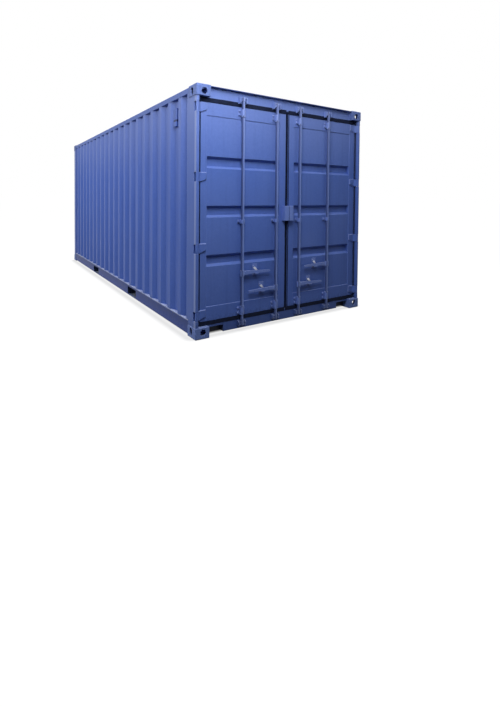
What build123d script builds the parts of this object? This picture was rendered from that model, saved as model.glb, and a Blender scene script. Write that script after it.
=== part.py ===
"""Steel freight container, twenty foot long, with two hinged doors at its rear end.

X runs along the container with the doors at +X, Y runs across it and Z is up.
The origin lies on the ground below the middle of the box. Sizes are in millimetres.
Left and right are those of someone who faces the doors, so the left side is at -Y.
"""

import os
from math import cos, floor, radians, sin

from build123d import *

# Envelope over the eight corner fittings
LENGTH = 6058
WIDTH = 2438
HEIGHT = 2591

# Corner fittings: hollow castings, slotted above or below and holed on two sides
FITTING_X = 178
FITTING_Y = 162
FITTING_Z = 118
FITTING_EDGE = 12
FITTING_WALL = 15
FITTING_BACK = 9
FITTING_PLATE = 28
SLOT_LENGTH = 124
SLOT_WIDTH = 63.5
SLOT_IN_X = 102.5
SLOT_IN_Y = 89.5
END_HOLE_R = 33
SIDE_HOLE_HEIGHT = 79.5
SIDE_HOLE_WIDTH = 51

# Plates and rails stand back a little from the faces of the fittings
SET_IN = 5
POST_PLATE = 6
POST_WEB = 10
POST_INSIDE = 49
POST_FLANGE = 36
NOSE_SET_IN = 7
NOSE_WIDTH = 37
NOSE_DEPTH = 58
NOSE_RADIUS = 12

# Rails along the sides and across the front
TOP_RAIL = 60
TOP_RAIL_WALL = 3
TOP_RAIL_ROUND = 5
TOP_RAIL_ROUND_INSIDE = 2
TOP_RAIL_DROP = 11
BOTTOM_RAIL_ROUND = 5
BOTTOM_RAIL_LOW = 20
BOTTOM_RAIL_TOP = 172
BOTTOM_RAIL_WALL = 4.5
BOTTOM_RAIL_TOP_FLANGE = 48
BOTTOM_RAIL_LOW_FLANGE = 30
FRONT_FLANGE = 58

# Folded sheet walls
SHEET = 2
SHEET_SET_IN = 2
SIDE_CREST = 72
SIDE_RECESS = 70
SIDE_SLOPE = 68
SIDE_DEPTH = 36
SIDE_END_SLOPE = 22
FRONT_CREST = 110
FRONT_RECESS = 104
FRONT_SLOPE = 18
FRONT_DEPTH = 45.6
ROOF_CREST = 91
ROOF_TROUGH = 91
ROOF_SLOPE = 13.5
ROOF_DEPTH = 20
ROOF_MARGIN = 21
ROOF_LAP = 30
ROOF_FRONT_IN = 15

# Floor, cross members and fork pockets
FLOOR_THICKNESS = 28
FLOOR_ON_SILL = 28
SILL_TOP = 143
MEMBER_WIDTH = 45
MEMBER_WALL = 4
MEMBERS_PER_BAY = 5
POCKET_SPACING = 2050
POCKET_WIDTH = 360
POCKET_HEIGHT = 115
POCKET_STRAP = 200

# Door header and door sill
HEADER_HEIGHT = 130
HEADER_DEPTH = 96
HEADER_WALL = 4
HEADER_ROUND = 5
HEADER_ROUND_INSIDE = 2
HEADER_DROP = 6
STOP_DROP = 50
STOP_WALL = 6
STOP_GAP = 16
SILL_WALL = 6
SILL_ROUND = 5
SILL_DEPTH = 110
SILL_LOW_FLANGE = 72
SILL_LIP = 50
RECESS_LENGTH = 200
RECESS_TOP = 95
RECESS_DEPTH = 70

# Doors
DOOR_FACE_IN = 57
DOOR_DEPTH = 50
DOOR_SIDE_GAP = 10
DOOR_CENTRE_GAP = 34
DOOR_LOW_GAP = 17
DOOR_TOP_GAP = 28
DOOR_ROUND = 4
STILE = 92
DOOR_TOP_BAR = 137
DOOR_LOW_BAR = 150
DOOR_PANEL_IN = 6
TROUGH_UP = 100
TROUGH_PITCH = 512
TROUGH_FLAT = 72
TROUGH_SLOPE = 25
TROUGH_DEPTH = 36

# Door seals: how far they stand past the frame on each edge
SEAL_SIDE = 5
SEAL_CENTRE = 12
SEAL_TOP = 22
SEAL_LOW = 11
SEAL_LIP = 8
SEAL_DEPTH = 38
SEAL_BASE = 3

# Hinges: two counted up from the door's low edge and two down from its top edge
HINGES_UP = (75, 763)
HINGES_DOWN = (772, 63)
HINGE_TALL = 92
HINGE_TIP_RISE = 26
HINGE_PLATE = 12
HINGE_REACH = 83
HINGE_BEND_IN = 10
NECK_FRONT_ANGLE = -58
NECK_BACK_ANGLE = 143
PIN_SET_IN_X = 21
PIN_SET_IN_Y = 17
PIN_R = 9
PIN_GAP = 0.4
KNUCKLE_R = 15
KNUCKLE_GAP = 2
LUG = 14
NOTCH_DEPTH = 52

# Locking rods, their cams and keepers
ROD_SET_IN = 25
ROD_R = 17
ROD_OUTER_Y = 640
ROD_INNER_Y = 175
ROD_GAP = 0.4
CAM_R = 20
CAM_REACH = 30
CAM_TIP_R = 10
CAM_LOBE = 11
CAM_TALL = 42
CAM_IN = 3
KEEPER_GAP = 6
KEEPER_EAR = 10
KEEPER_PLATE = 5
KEEPER_OUT = 46
KEEPER_CHAMFER = 12
KEEPER_TOP_TALL = 70
KEEPER_TOP_UP = 2
KEEPER_LOW_TALL = 50
KEEPER_LOW_DOWN = 33
COLLAR_R = 23
COLLAR_TALL = 14
GUIDE_WALL = 5
GUIDE_WIDTH = 96
GUIDE_PLATE = 6
GUIDE_LOW_UP = 17
GUIDE_LOW_TALL = 83
GUIDE_MIDDLE_DOWN = 29
GUIDE_MIDDLE_TALL = 42
GUIDE_TOP_DOWN = 34
GUIDE_TOP_TALL = 66

# Handles, the brackets that hold them and the catches over them
HANDLE_INNER_UP = 108
HANDLE_STEP = 209
HANDLE_LENGTH = 380
HANDLE_PIVOT = 55
HANDLE_ROOM = 6
HANDLE_EYE_R = 22
HANDLE_BAR = 12
HANDLE_BELOW = 14
HANDLE_ABOVE = 20
HANDLE_TIP_R = 11
HANDLE_CHEEK = 5
TONGUE = 12
TONGUE_R = 20
TONGUE_GAP = 0.8
HUB_TALL = 64
RIVET_R = 7
RETAINER_OUTER_Y = 450
RETAINER_INNER_Y = 360
RETAINER_PLATE = 4
RETAINER_WIDTH = 64
RETAINER_UP = 84
RETAINER_DOWN = 40
SHELF_WIDTH = 50
SHELF = 8
SHELF_OUT = 44
SEAT_GAP = 0.3
CATCH_UP = 55
CATCH_SIDE = 20
CATCH_PLATE = 5
CATCH_WIDTH = 22
CATCH_LENGTH = 70
CATCH_ANGLE = -45
CATCH_PIN_R = 6
CATCH_HEAD_R = 11
CATCH_HEAD = 5

# Box over the padlock, cut through at the gap between the doors
LOCK_UP = 1025
LOCK_TALL = 170
LOCK_HALF_WIDTH = 64
LOCK_SPLIT = 4
LOCK_WALL = 5
LOCK_ROUND = 4

# Small ventilators in the side walls
VENT_DROP = 90
VENT_TALL = 198
VENT_DEPTH = 26
VENT_BASE = 66
VENT_FACE = 88
VENT_HOOD = 60
VENT_HOOD_OUT = 6
VENT_ROUND = 3

# Places worked out from the sizes above
HALF_LENGTH = LENGTH / 2
HALF_WIDTH = WIDTH / 2
FITTING_INSIDE_X = HALF_LENGTH - FITTING_X
FITTING_INSIDE_Y = HALF_WIDTH - FITTING_Y
FITTING_UNDER = HEIGHT - FITTING_Z
SKIN_Y = HALF_WIDTH - SET_IN
SKIN_FRONT = -(HALF_LENGTH - SET_IN)
NOSE_X = HALF_LENGTH - NOSE_SET_IN
POST_INNER_Y = HALF_WIDTH - POST_INSIDE
NOSE_INNER_Y = SKIN_Y - NOSE_WIDTH
CHANNEL_FRONT = NOSE_X - NOSE_DEPTH
POST_EDGE = FITTING_INSIDE_X - POST_FLANGE
TOP_RAIL_TOP = HEIGHT - TOP_RAIL_DROP
TOP_RAIL_LOW = TOP_RAIL_TOP - TOP_RAIL
SHEET_Y = SKIN_Y - SHEET_SET_IN
DOOR_FACE = HALF_LENGTH - DOOR_FACE_IN
DOOR_BACK = DOOR_FACE - DOOR_DEPTH
DOOR_EDGE = POST_INNER_Y - DOOR_SIDE_GAP
DOOR_FREE = DOOR_CENTRE_GAP / 2
DOOR_LOW = SILL_TOP + DOOR_LOW_GAP
LOW_BAR_TOP = DOOR_LOW + DOOR_LOW_BAR
HEADER_TOP = HEIGHT - HEADER_DROP
HEADER_LOW = HEADER_TOP - HEADER_HEIGHT
DOOR_TOP = HEADER_LOW - DOOR_TOP_GAP
TOP_BAR_LOW = DOOR_TOP - DOOR_TOP_BAR
HEADER_BACK = DOOR_FACE - HEADER_DEPTH
SILL_BACK = DOOR_FACE - SILL_DEPTH
PANEL_FACE = DOOR_FACE - DOOR_PANEL_IN
HINGE_HEIGHTS = [DOOR_LOW + up for up in HINGES_UP] + [DOOR_TOP - down for down in HINGES_DOWN]
PIN_X = HALF_LENGTH - PIN_SET_IN_X
PIN_Y = SKIN_Y - PIN_SET_IN_Y
HANDLE_INNER_Z = LOW_BAR_TOP + HANDLE_INNER_UP
HANDLE_OUTER_Z = HANDLE_INNER_Z + HANDLE_STEP
TROUGH_LOW = HANDLE_OUTER_Z + TROUGH_UP
ROD_X = HALF_LENGTH - ROD_SET_IN
ROD_TOP = HEADER_LOW + KEEPER_TOP_UP + KEEPER_TOP_TALL
ROD_LOW = SILL_TOP - KEEPER_LOW_DOWN - KEEPER_LOW_TALL
GUIDE_LOW = DOOR_LOW + GUIDE_LOW_UP
GUIDE_MIDDLE = TROUGH_LOW + TROUGH_PITCH - GUIDE_MIDDLE_DOWN - GUIDE_MIDDLE_TALL
GUIDE_TOP = DOOR_TOP - GUIDE_TOP_DOWN - GUIDE_TOP_TALL
LOCK_LOW = DOOR_LOW + LOCK_UP
LOCK_TOP = LOCK_LOW + LOCK_TALL
VENT_TOP = TOP_RAIL_LOW - VENT_DROP
VENT_LOW = VENT_TOP - VENT_TALL
CAM_ROOM = CAM_REACH + KEEPER_GAP
MEMBER_LOW = BOTTOM_RAIL_LOW + BOTTOM_RAIL_WALL
RAIL_WEB_INSIDE = SKIN_Y - BOTTOM_RAIL_WALL
LEFT = -1
RIGHT = 1
REAR = 1
FRONT = -1


def level(height):
    """Plane at this height, drawn in X and Y."""
    return Plane.XY.offset(height)


def across(distance):
    """Plane at this Y, drawn in X and Z and extruded towards -Y."""
    return Plane.XZ.offset(-distance)


def along(distance):
    """Plane at this X, drawn in Y and Z and extruded towards +X."""
    return Plane.YZ.offset(distance)


def block(x, y, z, mode=Mode.ADD):
    """Straight block between two values on each axis."""
    with Locations(((x[0] + x[1]) / 2, (y[0] + y[1]) / 2, (z[0] + z[1]) / 2)):
        Box(abs(x[1] - x[0]), abs(y[1] - y[0]), abs(z[1] - z[0]), mode=mode)


def strip(u, v, mode=Mode.ADD):
    """Rectangle in a sketch between two values on each axis."""
    with Locations(((u[0] + u[1]) / 2, (v[0] + v[1]) / 2)):
        Rectangle(abs(u[1] - u[0]), abs(v[1] - v[0]), mode=mode)


def tube(u, v, wall, outer_round, inner_round):
    """Hollow section with rounded corners between two values on each axis."""
    wide = abs(u[1] - u[0])
    tall = abs(v[1] - v[0])
    with Locations(((u[0] + u[1]) / 2, (v[0] + v[1]) / 2)):
        RectangleRounded(wide, tall, outer_round)
        RectangleRounded(wide - 2 * wall, tall - 2 * wall, inner_round, mode=Mode.SUBTRACT)


def save(piece, name):
    """Label a finished piece and write it."""
    piece.part.label = name
    export_step(piece.part, f"parts/{name}.step")


def folds(start, end, plateau, slope, gap, first=None):
    """Corners (position, 0 or 1) of plateaus from a given first foot, or else centred between two ends."""
    pitch = plateau + gap + 2 * slope
    count = floor((end - (start if first is None else first) + gap) / pitch)
    if first is None:
        first = (start + end - count * pitch + gap) / 2
    corners = []
    for number in range(count):
        foot = first + number * pitch
        corners += [(foot, 0), (foot + slope, 1)]
        corners += [(foot + slope + plateau, 1), (foot + 2 * slope + plateau, 0)]
    return corners


def sheet(points, shift):
    """Outline of a folded sheet: a line of points and the same line shifted by its thickness."""
    return points + [(u + shift[0], v + shift[1]) for u, v in reversed(points)]


def corner_fitting(end, side, top):
    """Hollow casting on one corner of the box, slotted on its level outer face."""
    base = FITTING_UNDER if top else 0
    slot_face = HEIGHT if top else 0
    inner_face = slot_face - FITTING_PLATE if top else FITTING_PLATE
    closed_face = base + FITTING_BACK if top else FITTING_Z - FITTING_BACK
    hole_height = (inner_face + closed_face) / 2
    outer_x = end * HALF_LENGTH
    outer_y = side * HALF_WIDTH
    slot_x = end * (HALF_LENGTH - SLOT_IN_X)
    slot_y = side * (HALF_WIDTH - SLOT_IN_Y)
    with BuildPart() as fitting:
        block((end * FITTING_INSIDE_X, outer_x), (side * FITTING_INSIDE_Y, outer_y), (base, base + FITTING_Z))
        corner = Vertex(outer_x, outer_y, slot_face)
        fillet(fitting.edges().sort_by_distance(corner)[:3], FITTING_EDGE)
        block(
            (end * (FITTING_INSIDE_X + FITTING_BACK), end * (HALF_LENGTH - FITTING_WALL)),
            (side * (FITTING_INSIDE_Y + FITTING_BACK), side * (HALF_WIDTH - FITTING_WALL)),
            (inner_face, closed_face),
            Mode.SUBTRACT,
        )
        with BuildSketch(level(slot_face)):
            with Locations((slot_x, slot_y)):
                SlotOverall(SLOT_LENGTH, SLOT_WIDTH)
        extrude(amount=FITTING_PLATE, both=True, mode=Mode.SUBTRACT)
        with BuildSketch(along(outer_x)):
            with Locations((slot_y, hole_height)):
                Circle(END_HOLE_R)
        extrude(amount=FITTING_WALL, both=True, mode=Mode.SUBTRACT)
        with BuildSketch(across(outer_y)):
            with Locations((slot_x, hole_height)):
                SlotOverall(SIDE_HOLE_HEIGHT, SIDE_HOLE_WIDTH, rotation=90)
        extrude(amount=FITTING_WALL, both=True, mode=Mode.SUBTRACT)
    return fitting


def rear_post(side):
    """Door post: an outer plate with a rolled nose, an inner channel and the hinge lugs."""
    skin_inside = SKIN_Y - POST_PLATE
    with BuildPart() as post:
        with BuildSketch(level(FITTING_Z)):
            with BuildSketch(mode=Mode.PRIVATE) as nose:
                strip((CHANNEL_FRONT, NOSE_X), (side * NOSE_INNER_Y, side * SKIN_Y))
                fillet(nose.vertices().group_by(Axis.X)[-1], NOSE_RADIUS)
                strip(
                    (CHANNEL_FRONT, NOSE_X - POST_PLATE),
                    (side * (NOSE_INNER_Y + POST_PLATE), side * skin_inside),
                    Mode.SUBTRACT,
                )
            add(nose.sketch)
            strip((FITTING_INSIDE_X, CHANNEL_FRONT), (side * POST_INNER_Y, side * skin_inside))
            strip(
                (FITTING_INSIDE_X + POST_WEB, CHANNEL_FRONT - POST_WEB),
                (side * (POST_INNER_Y + POST_WEB), side * skin_inside),
                Mode.SUBTRACT,
            )
            strip((FITTING_INSIDE_X, CHANNEL_FRONT), (side * skin_inside, side * SKIN_Y))
        extrude(amount=FITTING_UNDER - FITTING_Z)
        block(
            (POST_EDGE, FITTING_INSIDE_X),
            (side * skin_inside, side * SKIN_Y),
            (BOTTOM_RAIL_TOP, TOP_RAIL_LOW),
        )
        for height in HINGE_HEIGHTS:
            room = HINGE_TALL / 2 + KNUCKLE_GAP
            block(
                (CHANNEL_FRONT, NOSE_X - NOSE_RADIUS),
                (side * (NOSE_INNER_Y + POST_PLATE), side * skin_inside),
                (height - room - LUG, height + room + LUG),
            )
            with Locations((PIN_X, side * PIN_Y, height)):
                Cylinder(KNUCKLE_R, 2 * (room + LUG))
            block(
                (NOSE_X - NOTCH_DEPTH, HALF_LENGTH),
                (side * POST_INNER_Y, side * HALF_WIDTH),
                (height - room, height + room),
                Mode.SUBTRACT,
            )
            with Locations((PIN_X, side * PIN_Y, height)):
                Cylinder(PIN_R + PIN_GAP, 2 * (room + LUG), mode=Mode.SUBTRACT)
    return post


def front_post(side):
    """Front post: one pressed section with a lip along each inner edge."""
    wall_edge = SKIN_FRONT + FRONT_FLANGE
    with BuildPart() as post:
        with BuildSketch(level(FITTING_Z)):
            with BuildSketch(mode=Mode.PRIVATE) as section:
                strip((SKIN_FRONT, -FITTING_INSIDE_X), (side * FITTING_INSIDE_Y, side * SKIN_Y))
                outer = section.vertices().sort_by(lambda corner: abs(corner.X) + abs(corner.Y))[-1]
                fillet(outer, NOSE_RADIUS)
                strip(
                    (SKIN_FRONT + POST_PLATE, -FITTING_INSIDE_X - POST_PLATE),
                    (side * (FITTING_INSIDE_Y + POST_PLATE), side * (SKIN_Y - POST_PLATE)),
                    Mode.SUBTRACT,
                )
                strip(
                    (wall_edge, -FITTING_INSIDE_X),
                    (side * FITTING_INSIDE_Y, side * (SKIN_Y - BOTTOM_RAIL_TOP_FLANGE)),
                    Mode.SUBTRACT,
                )
            add(section.sketch)
        extrude(amount=FITTING_UNDER - FITTING_Z)
    return post


def top_side_rail(side):
    """Square tube between the upper corner fittings."""
    with BuildPart() as rail:
        with BuildSketch(along(-FITTING_INSIDE_X)):
            tube(
                (side * (SKIN_Y - TOP_RAIL), side * SKIN_Y),
                (TOP_RAIL_LOW, TOP_RAIL_TOP),
                TOP_RAIL_WALL,
                TOP_RAIL_ROUND,
                TOP_RAIL_ROUND_INSIDE,
            )
        extrude(amount=2 * FITTING_INSIDE_X)
    return rail


def bottom_side_rail(side):
    """Channel between the lower corner fittings, open inwards and cut through at the fork pockets."""
    with BuildPart() as rail:
        with BuildSketch(along(-FITTING_INSIDE_X)) as section:
            strip((side * RAIL_WEB_INSIDE, side * SKIN_Y), (BOTTOM_RAIL_LOW, BOTTOM_RAIL_TOP))
            strip(
                (side * (SKIN_Y - BOTTOM_RAIL_TOP_FLANGE), side * SKIN_Y),
                (BOTTOM_RAIL_TOP - BOTTOM_RAIL_WALL, BOTTOM_RAIL_TOP),
            )
            strip(
                (side * (SKIN_Y - BOTTOM_RAIL_LOW_FLANGE), side * SKIN_Y),
                (BOTTOM_RAIL_LOW, BOTTOM_RAIL_LOW + BOTTOM_RAIL_WALL),
            )
            fillet(section.vertices().sort_by(lambda corner: abs(corner.X))[-2:], BOTTOM_RAIL_ROUND)
        extrude(amount=2 * FITTING_INSIDE_X)
        with BuildSketch(across(side * SKIN_Y)):
            with GridLocations(POCKET_SPACING, 1, 2, 1):
                with Locations((0, MEMBER_LOW + POCKET_HEIGHT / 2)):
                    Rectangle(POCKET_WIDTH, POCKET_HEIGHT)
        extrude(amount=BOTTOM_RAIL_WALL, both=True, mode=Mode.SUBTRACT)
    return rail


def front_top_rail():
    """Square tube across the front between the upper fittings."""
    with BuildPart() as rail:
        with BuildSketch(across(FITTING_INSIDE_Y)):
            tube(
                (SKIN_FRONT, SKIN_FRONT + TOP_RAIL),
                (TOP_RAIL_LOW, TOP_RAIL_TOP),
                TOP_RAIL_WALL,
                TOP_RAIL_ROUND,
                TOP_RAIL_ROUND_INSIDE,
            )
        extrude(amount=2 * FITTING_INSIDE_Y)
    return rail


def front_bottom_rail():
    """Channel across the front between the lower fittings, open towards the floor."""
    with BuildPart() as rail:
        with BuildSketch(across(FITTING_INSIDE_Y)):
            strip((SKIN_FRONT, SKIN_FRONT + BOTTOM_RAIL_WALL), (BOTTOM_RAIL_LOW, BOTTOM_RAIL_TOP))
            strip(
                (SKIN_FRONT, SKIN_FRONT + FRONT_FLANGE),
                (BOTTOM_RAIL_TOP - BOTTOM_RAIL_WALL, BOTTOM_RAIL_TOP),
            )
            strip(
                (SKIN_FRONT, SKIN_FRONT + FRONT_FLANGE),
                (BOTTOM_RAIL_LOW, BOTTOM_RAIL_LOW + BOTTOM_RAIL_WALL),
            )
        extrude(amount=2 * FITTING_INSIDE_Y)
    return rail


def side_ridges():
    """Corners of the upright crests along a side wall."""
    start = -FITTING_INSIDE_X + SIDE_END_SLOPE
    end = POST_EDGE - SIDE_END_SLOPE
    return folds(start, end, SIDE_CREST, SIDE_SLOPE, SIDE_RECESS)


def side_panel(side):
    """Steel sheet folded into upright crests, from the front post to the door post."""
    start = -FITTING_INSIDE_X
    end = POST_EDGE
    front_end = [(start, 1), (start + SIDE_END_SLOPE, 0)]
    rear_end = [(end - SIDE_END_SLOPE, 0), (end, 1)]
    line = front_end + side_ridges() + rear_end
    points = [(x, side * (SHEET_Y - SIDE_DEPTH * (1 - out))) for x, out in line]
    with BuildPart() as panel:
        with BuildSketch(level(BOTTOM_RAIL_TOP)):
            with BuildLine():
                Polyline(*sheet(points, (0, -side * SHEET)), close=True)
            make_face()
        extrude(amount=TOP_RAIL_LOW - BOTTOM_RAIL_TOP)
    return panel


def front_panel():
    """Front wall of deeper, steeper upright folds between the front posts."""
    start = -FITTING_INSIDE_Y
    end = FITTING_INSIDE_Y
    ridges = folds(start + FRONT_SLOPE, end - FRONT_SLOPE, FRONT_CREST, FRONT_SLOPE, FRONT_RECESS)
    line = [(start, 1), (start + FRONT_SLOPE, 0)] + ridges + [(end - FRONT_SLOPE, 0), (end, 1)]
    face = SKIN_FRONT + SHEET_SET_IN
    points = [(face + FRONT_DEPTH * (1 - out), y) for y, out in line]
    with BuildPart() as panel:
        with BuildSketch(level(BOTTOM_RAIL_TOP)):
            with BuildLine():
                Polyline(*sheet(points, (SHEET, 0)), close=True)
            make_face()
        extrude(amount=TOP_RAIL_LOW - BOTTOM_RAIL_TOP)
    return panel


def roof_panel():
    """Roof sheet with shallow troughs across it, lapped over the rails on every side."""
    field_x = FITTING_INSIDE_X - ROOF_MARGIN
    field_y = SKIN_Y - TOP_RAIL
    line = [(-field_x, 0)] + folds(-field_x, field_x, ROOF_TROUGH, ROOF_SLOPE, ROOF_CREST) + [(field_x, 0)]
    points = [(x, TOP_RAIL_TOP - ROOF_DEPTH * down) for x, down in line]
    with BuildPart() as roof:
        with BuildSketch(level(TOP_RAIL_TOP)):
            strip((-FITTING_INSIDE_X, FITTING_INSIDE_X), (-field_y - ROOF_LAP, field_y + ROOF_LAP))
            strip((SKIN_FRONT + ROOF_FRONT_IN, HEADER_BACK), (-FITTING_INSIDE_Y, FITTING_INSIDE_Y))
            strip((-field_x, field_x), (-field_y, field_y), Mode.SUBTRACT)
        extrude(amount=SHEET)
        with BuildSketch(across(field_y)):
            with BuildLine():
                Polyline(*sheet(points, (0, SHEET)), close=True)
            make_face()
        extrude(amount=2 * field_y)
    return roof


def floor_deck():
    """Plywood floor laid on the cross members, between the side rails."""
    edge = SKIN_Y - BOTTOM_RAIL_TOP_FLANGE
    with BuildPart() as deck:
        block(
            (SKIN_FRONT + FRONT_FLANGE, SILL_BACK + FLOOR_ON_SILL),
            (-edge, edge),
            (SILL_TOP, SILL_TOP + FLOOR_THICKNESS),
        )
    return deck


def member_section(x, facing):
    """Channel section of a cross member with its web at x and its flanges towards facing."""
    strip((x, x + facing * MEMBER_WALL), (MEMBER_LOW, SILL_TOP))
    strip((x, x + facing * MEMBER_WIDTH), (MEMBER_LOW, MEMBER_LOW + MEMBER_WALL))
    strip((x, x + facing * MEMBER_WIDTH), (SILL_TOP - MEMBER_WALL, SILL_TOP))


def cross_members():
    """Channels under the floor, in the three bays that the fork pockets leave."""
    pocket_edge = POCKET_WIDTH / 2 + MEMBER_WIDTH
    bays = (
        (SKIN_FRONT + FITTING_X, -POCKET_SPACING / 2 - pocket_edge),
        (-POCKET_SPACING / 2 + pocket_edge, POCKET_SPACING / 2 - pocket_edge),
        (POCKET_SPACING / 2 + pocket_edge, SILL_BACK - MEMBER_WIDTH),
    )
    with BuildPart() as members:
        for start, end in bays:
            pitch = (end - start) / (MEMBERS_PER_BAY + 1)
            for number in range(MEMBERS_PER_BAY):
                with BuildSketch(across(RAIL_WEB_INSIDE)):
                    member_section(start + pitch * (number + 1) - MEMBER_WIDTH / 2, REAR)
                extrude(amount=2 * RAIL_WEB_INSIDE)
    return members


def fork_pockets():
    """Two sleeves across the underframe: a beam on each side, a roof plate and straps below."""
    strap_end = SKIN_Y - BOTTOM_RAIL_LOW_FLANGE
    roof_low = MEMBER_LOW + POCKET_HEIGHT
    with BuildPart() as pockets:
        for middle in (-POCKET_SPACING / 2, POCKET_SPACING / 2):
            with BuildSketch(across(RAIL_WEB_INSIDE)):
                member_section(middle - POCKET_WIDTH / 2, FRONT)
                member_section(middle + POCKET_WIDTH / 2, REAR)
                strip((middle - POCKET_WIDTH / 2, middle + POCKET_WIDTH / 2), (roof_low, SILL_TOP))
            extrude(amount=2 * RAIL_WEB_INSIDE)
            for side in (LEFT, RIGHT):
                block(
                    (middle - POCKET_WIDTH / 2 - MEMBER_WIDTH, middle + POCKET_WIDTH / 2 + MEMBER_WIDTH),
                    (side * (strap_end - POCKET_STRAP), side * strap_end),
                    (BOTTOM_RAIL_LOW, MEMBER_LOW),
                )
    return pockets


def door_header():
    """Box beam over the doors with a plate behind it that the doors close against."""
    stop = (DOOR_BACK - STOP_GAP - STOP_WALL, DOOR_BACK - STOP_GAP)
    with BuildPart() as header:
        with BuildSketch(across(FITTING_INSIDE_Y)):
            tube(
                (HEADER_BACK, DOOR_FACE),
                (HEADER_LOW, HEADER_TOP),
                HEADER_WALL,
                HEADER_ROUND,
                HEADER_ROUND_INSIDE,
            )
        extrude(amount=2 * FITTING_INSIDE_Y)
        block(stop, (-POST_INNER_Y, POST_INNER_Y), (HEADER_LOW - STOP_DROP, HEADER_LOW))
        for side in (LEFT, RIGHT):
            block(stop, (side * FITTING_INSIDE_Y, side * POST_INNER_Y), (HEADER_LOW, FITTING_UNDER))
    return header


def door_sill():
    """Folded sill under the doors, cut up into a boxed recess near each lower fitting."""
    lip = (SILL_BACK, SILL_BACK + SILL_LIP)
    recess_end = FITTING_INSIDE_Y - RECESS_LENGTH
    recess_back = DOOR_FACE - RECESS_DEPTH
    with BuildPart() as sill:
        with BuildSketch(across(FITTING_INSIDE_Y)) as section:
            strip((DOOR_FACE - SILL_WALL, DOOR_FACE), (BOTTOM_RAIL_LOW, SILL_TOP))
            strip((SILL_BACK, DOOR_FACE), (SILL_TOP - SILL_WALL, SILL_TOP))
            strip(
                (DOOR_FACE - SILL_LOW_FLANGE, DOOR_FACE),
                (BOTTOM_RAIL_LOW, BOTTOM_RAIL_LOW + SILL_WALL),
            )
            fillet(section.vertices().group_by(Axis.X)[-1], SILL_ROUND)
        extrude(amount=2 * FITTING_INSIDE_Y)
        for side in (LEFT, RIGHT):
            block(
                (recess_back - SILL_WALL, DOOR_FACE),
                (side * (recess_end - SILL_WALL), side * FITTING_INSIDE_Y),
                (BOTTOM_RAIL_LOW, RECESS_TOP + SILL_WALL),
            )
            block(
                (recess_back, DOOR_FACE),
                (side * recess_end, side * FITTING_INSIDE_Y),
                (BOTTOM_RAIL_LOW, RECESS_TOP),
                Mode.SUBTRACT,
            )
            block(lip, (side * FITTING_INSIDE_Y, side * POST_INNER_Y), (SILL_TOP - SILL_WALL, SILL_TOP))
            block(
                (SILL_BACK, SILL_BACK + SILL_WALL),
                (side * FITTING_INSIDE_Y, side * POST_INNER_Y),
                (FITTING_Z, SILL_TOP),
            )
    return sill


def ventilators():
    """Two small hooded boxes in a recess near the top, one on each side, at opposite ends."""
    back = SHEET_Y - SIDE_DEPTH
    feet = [x for x, out in side_ridges() if out == 0]
    with BuildPart() as vents:
        for side, recess in ((LEFT, feet[-3:-1]), (RIGHT, feet[1:3])):
            middle = sum(recess) / 2
            outline = [
                (middle - VENT_BASE / 2, side * back),
                (middle + VENT_BASE / 2, side * back),
                (middle + VENT_FACE / 2, side * (back + VENT_DEPTH)),
                (middle - VENT_FACE / 2, side * (back + VENT_DEPTH)),
            ]
            with BuildSketch(level(VENT_LOW)) as section:
                with BuildLine():
                    Polyline(*outline, close=True)
                make_face()
                fillet(section.vertices().sort_by(lambda corner: abs(corner.Y))[-2:], VENT_ROUND)
            extrude(amount=VENT_TOP - VENT_LOW)
            block(
                (middle - VENT_BASE / 2, middle + VENT_BASE / 2),
                (side * (back + VENT_DEPTH), side * (back + VENT_DEPTH + VENT_HOOD_OUT)),
                (VENT_LOW, VENT_LOW + VENT_HOOD),
            )
    return vents


def door_frame(side):
    """Welded frame of a door: two stiles, a top bar and a deeper bottom bar."""
    with BuildPart() as frame:
        with BuildSketch(along(DOOR_BACK)):
            strip((side * DOOR_FREE, side * DOOR_EDGE), (DOOR_LOW, DOOR_TOP))
            strip(
                (side * (DOOR_FREE + STILE), side * (DOOR_EDGE - STILE)),
                (LOW_BAR_TOP, TOP_BAR_LOW),
                Mode.SUBTRACT,
            )
        extrude(amount=DOOR_DEPTH)
        fillet(frame.faces().sort_by(Axis.X)[-1].edges(), DOOR_ROUND)
    return frame


def door_panel(side):
    """Sheet of a door, pressed in along level troughs."""
    gap = TROUGH_PITCH - TROUGH_FLAT - 2 * TROUGH_SLOPE
    troughs = folds(LOW_BAR_TOP, TOP_BAR_LOW, TROUGH_FLAT, TROUGH_SLOPE, gap, TROUGH_LOW)
    line = [(LOW_BAR_TOP, 0)] + troughs + [(TOP_BAR_LOW, 0)]
    points = [(PANEL_FACE - TROUGH_DEPTH * into, z) for z, into in line]
    inner = DOOR_FREE + STILE
    outer = DOOR_EDGE - STILE
    with BuildPart() as panel:
        with BuildSketch(across(max(side * inner, side * outer))):
            with BuildLine():
                Polyline(*sheet(points, (-SHEET, 0)), close=True)
            make_face()
        extrude(amount=outer - inner)
    return panel


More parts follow.
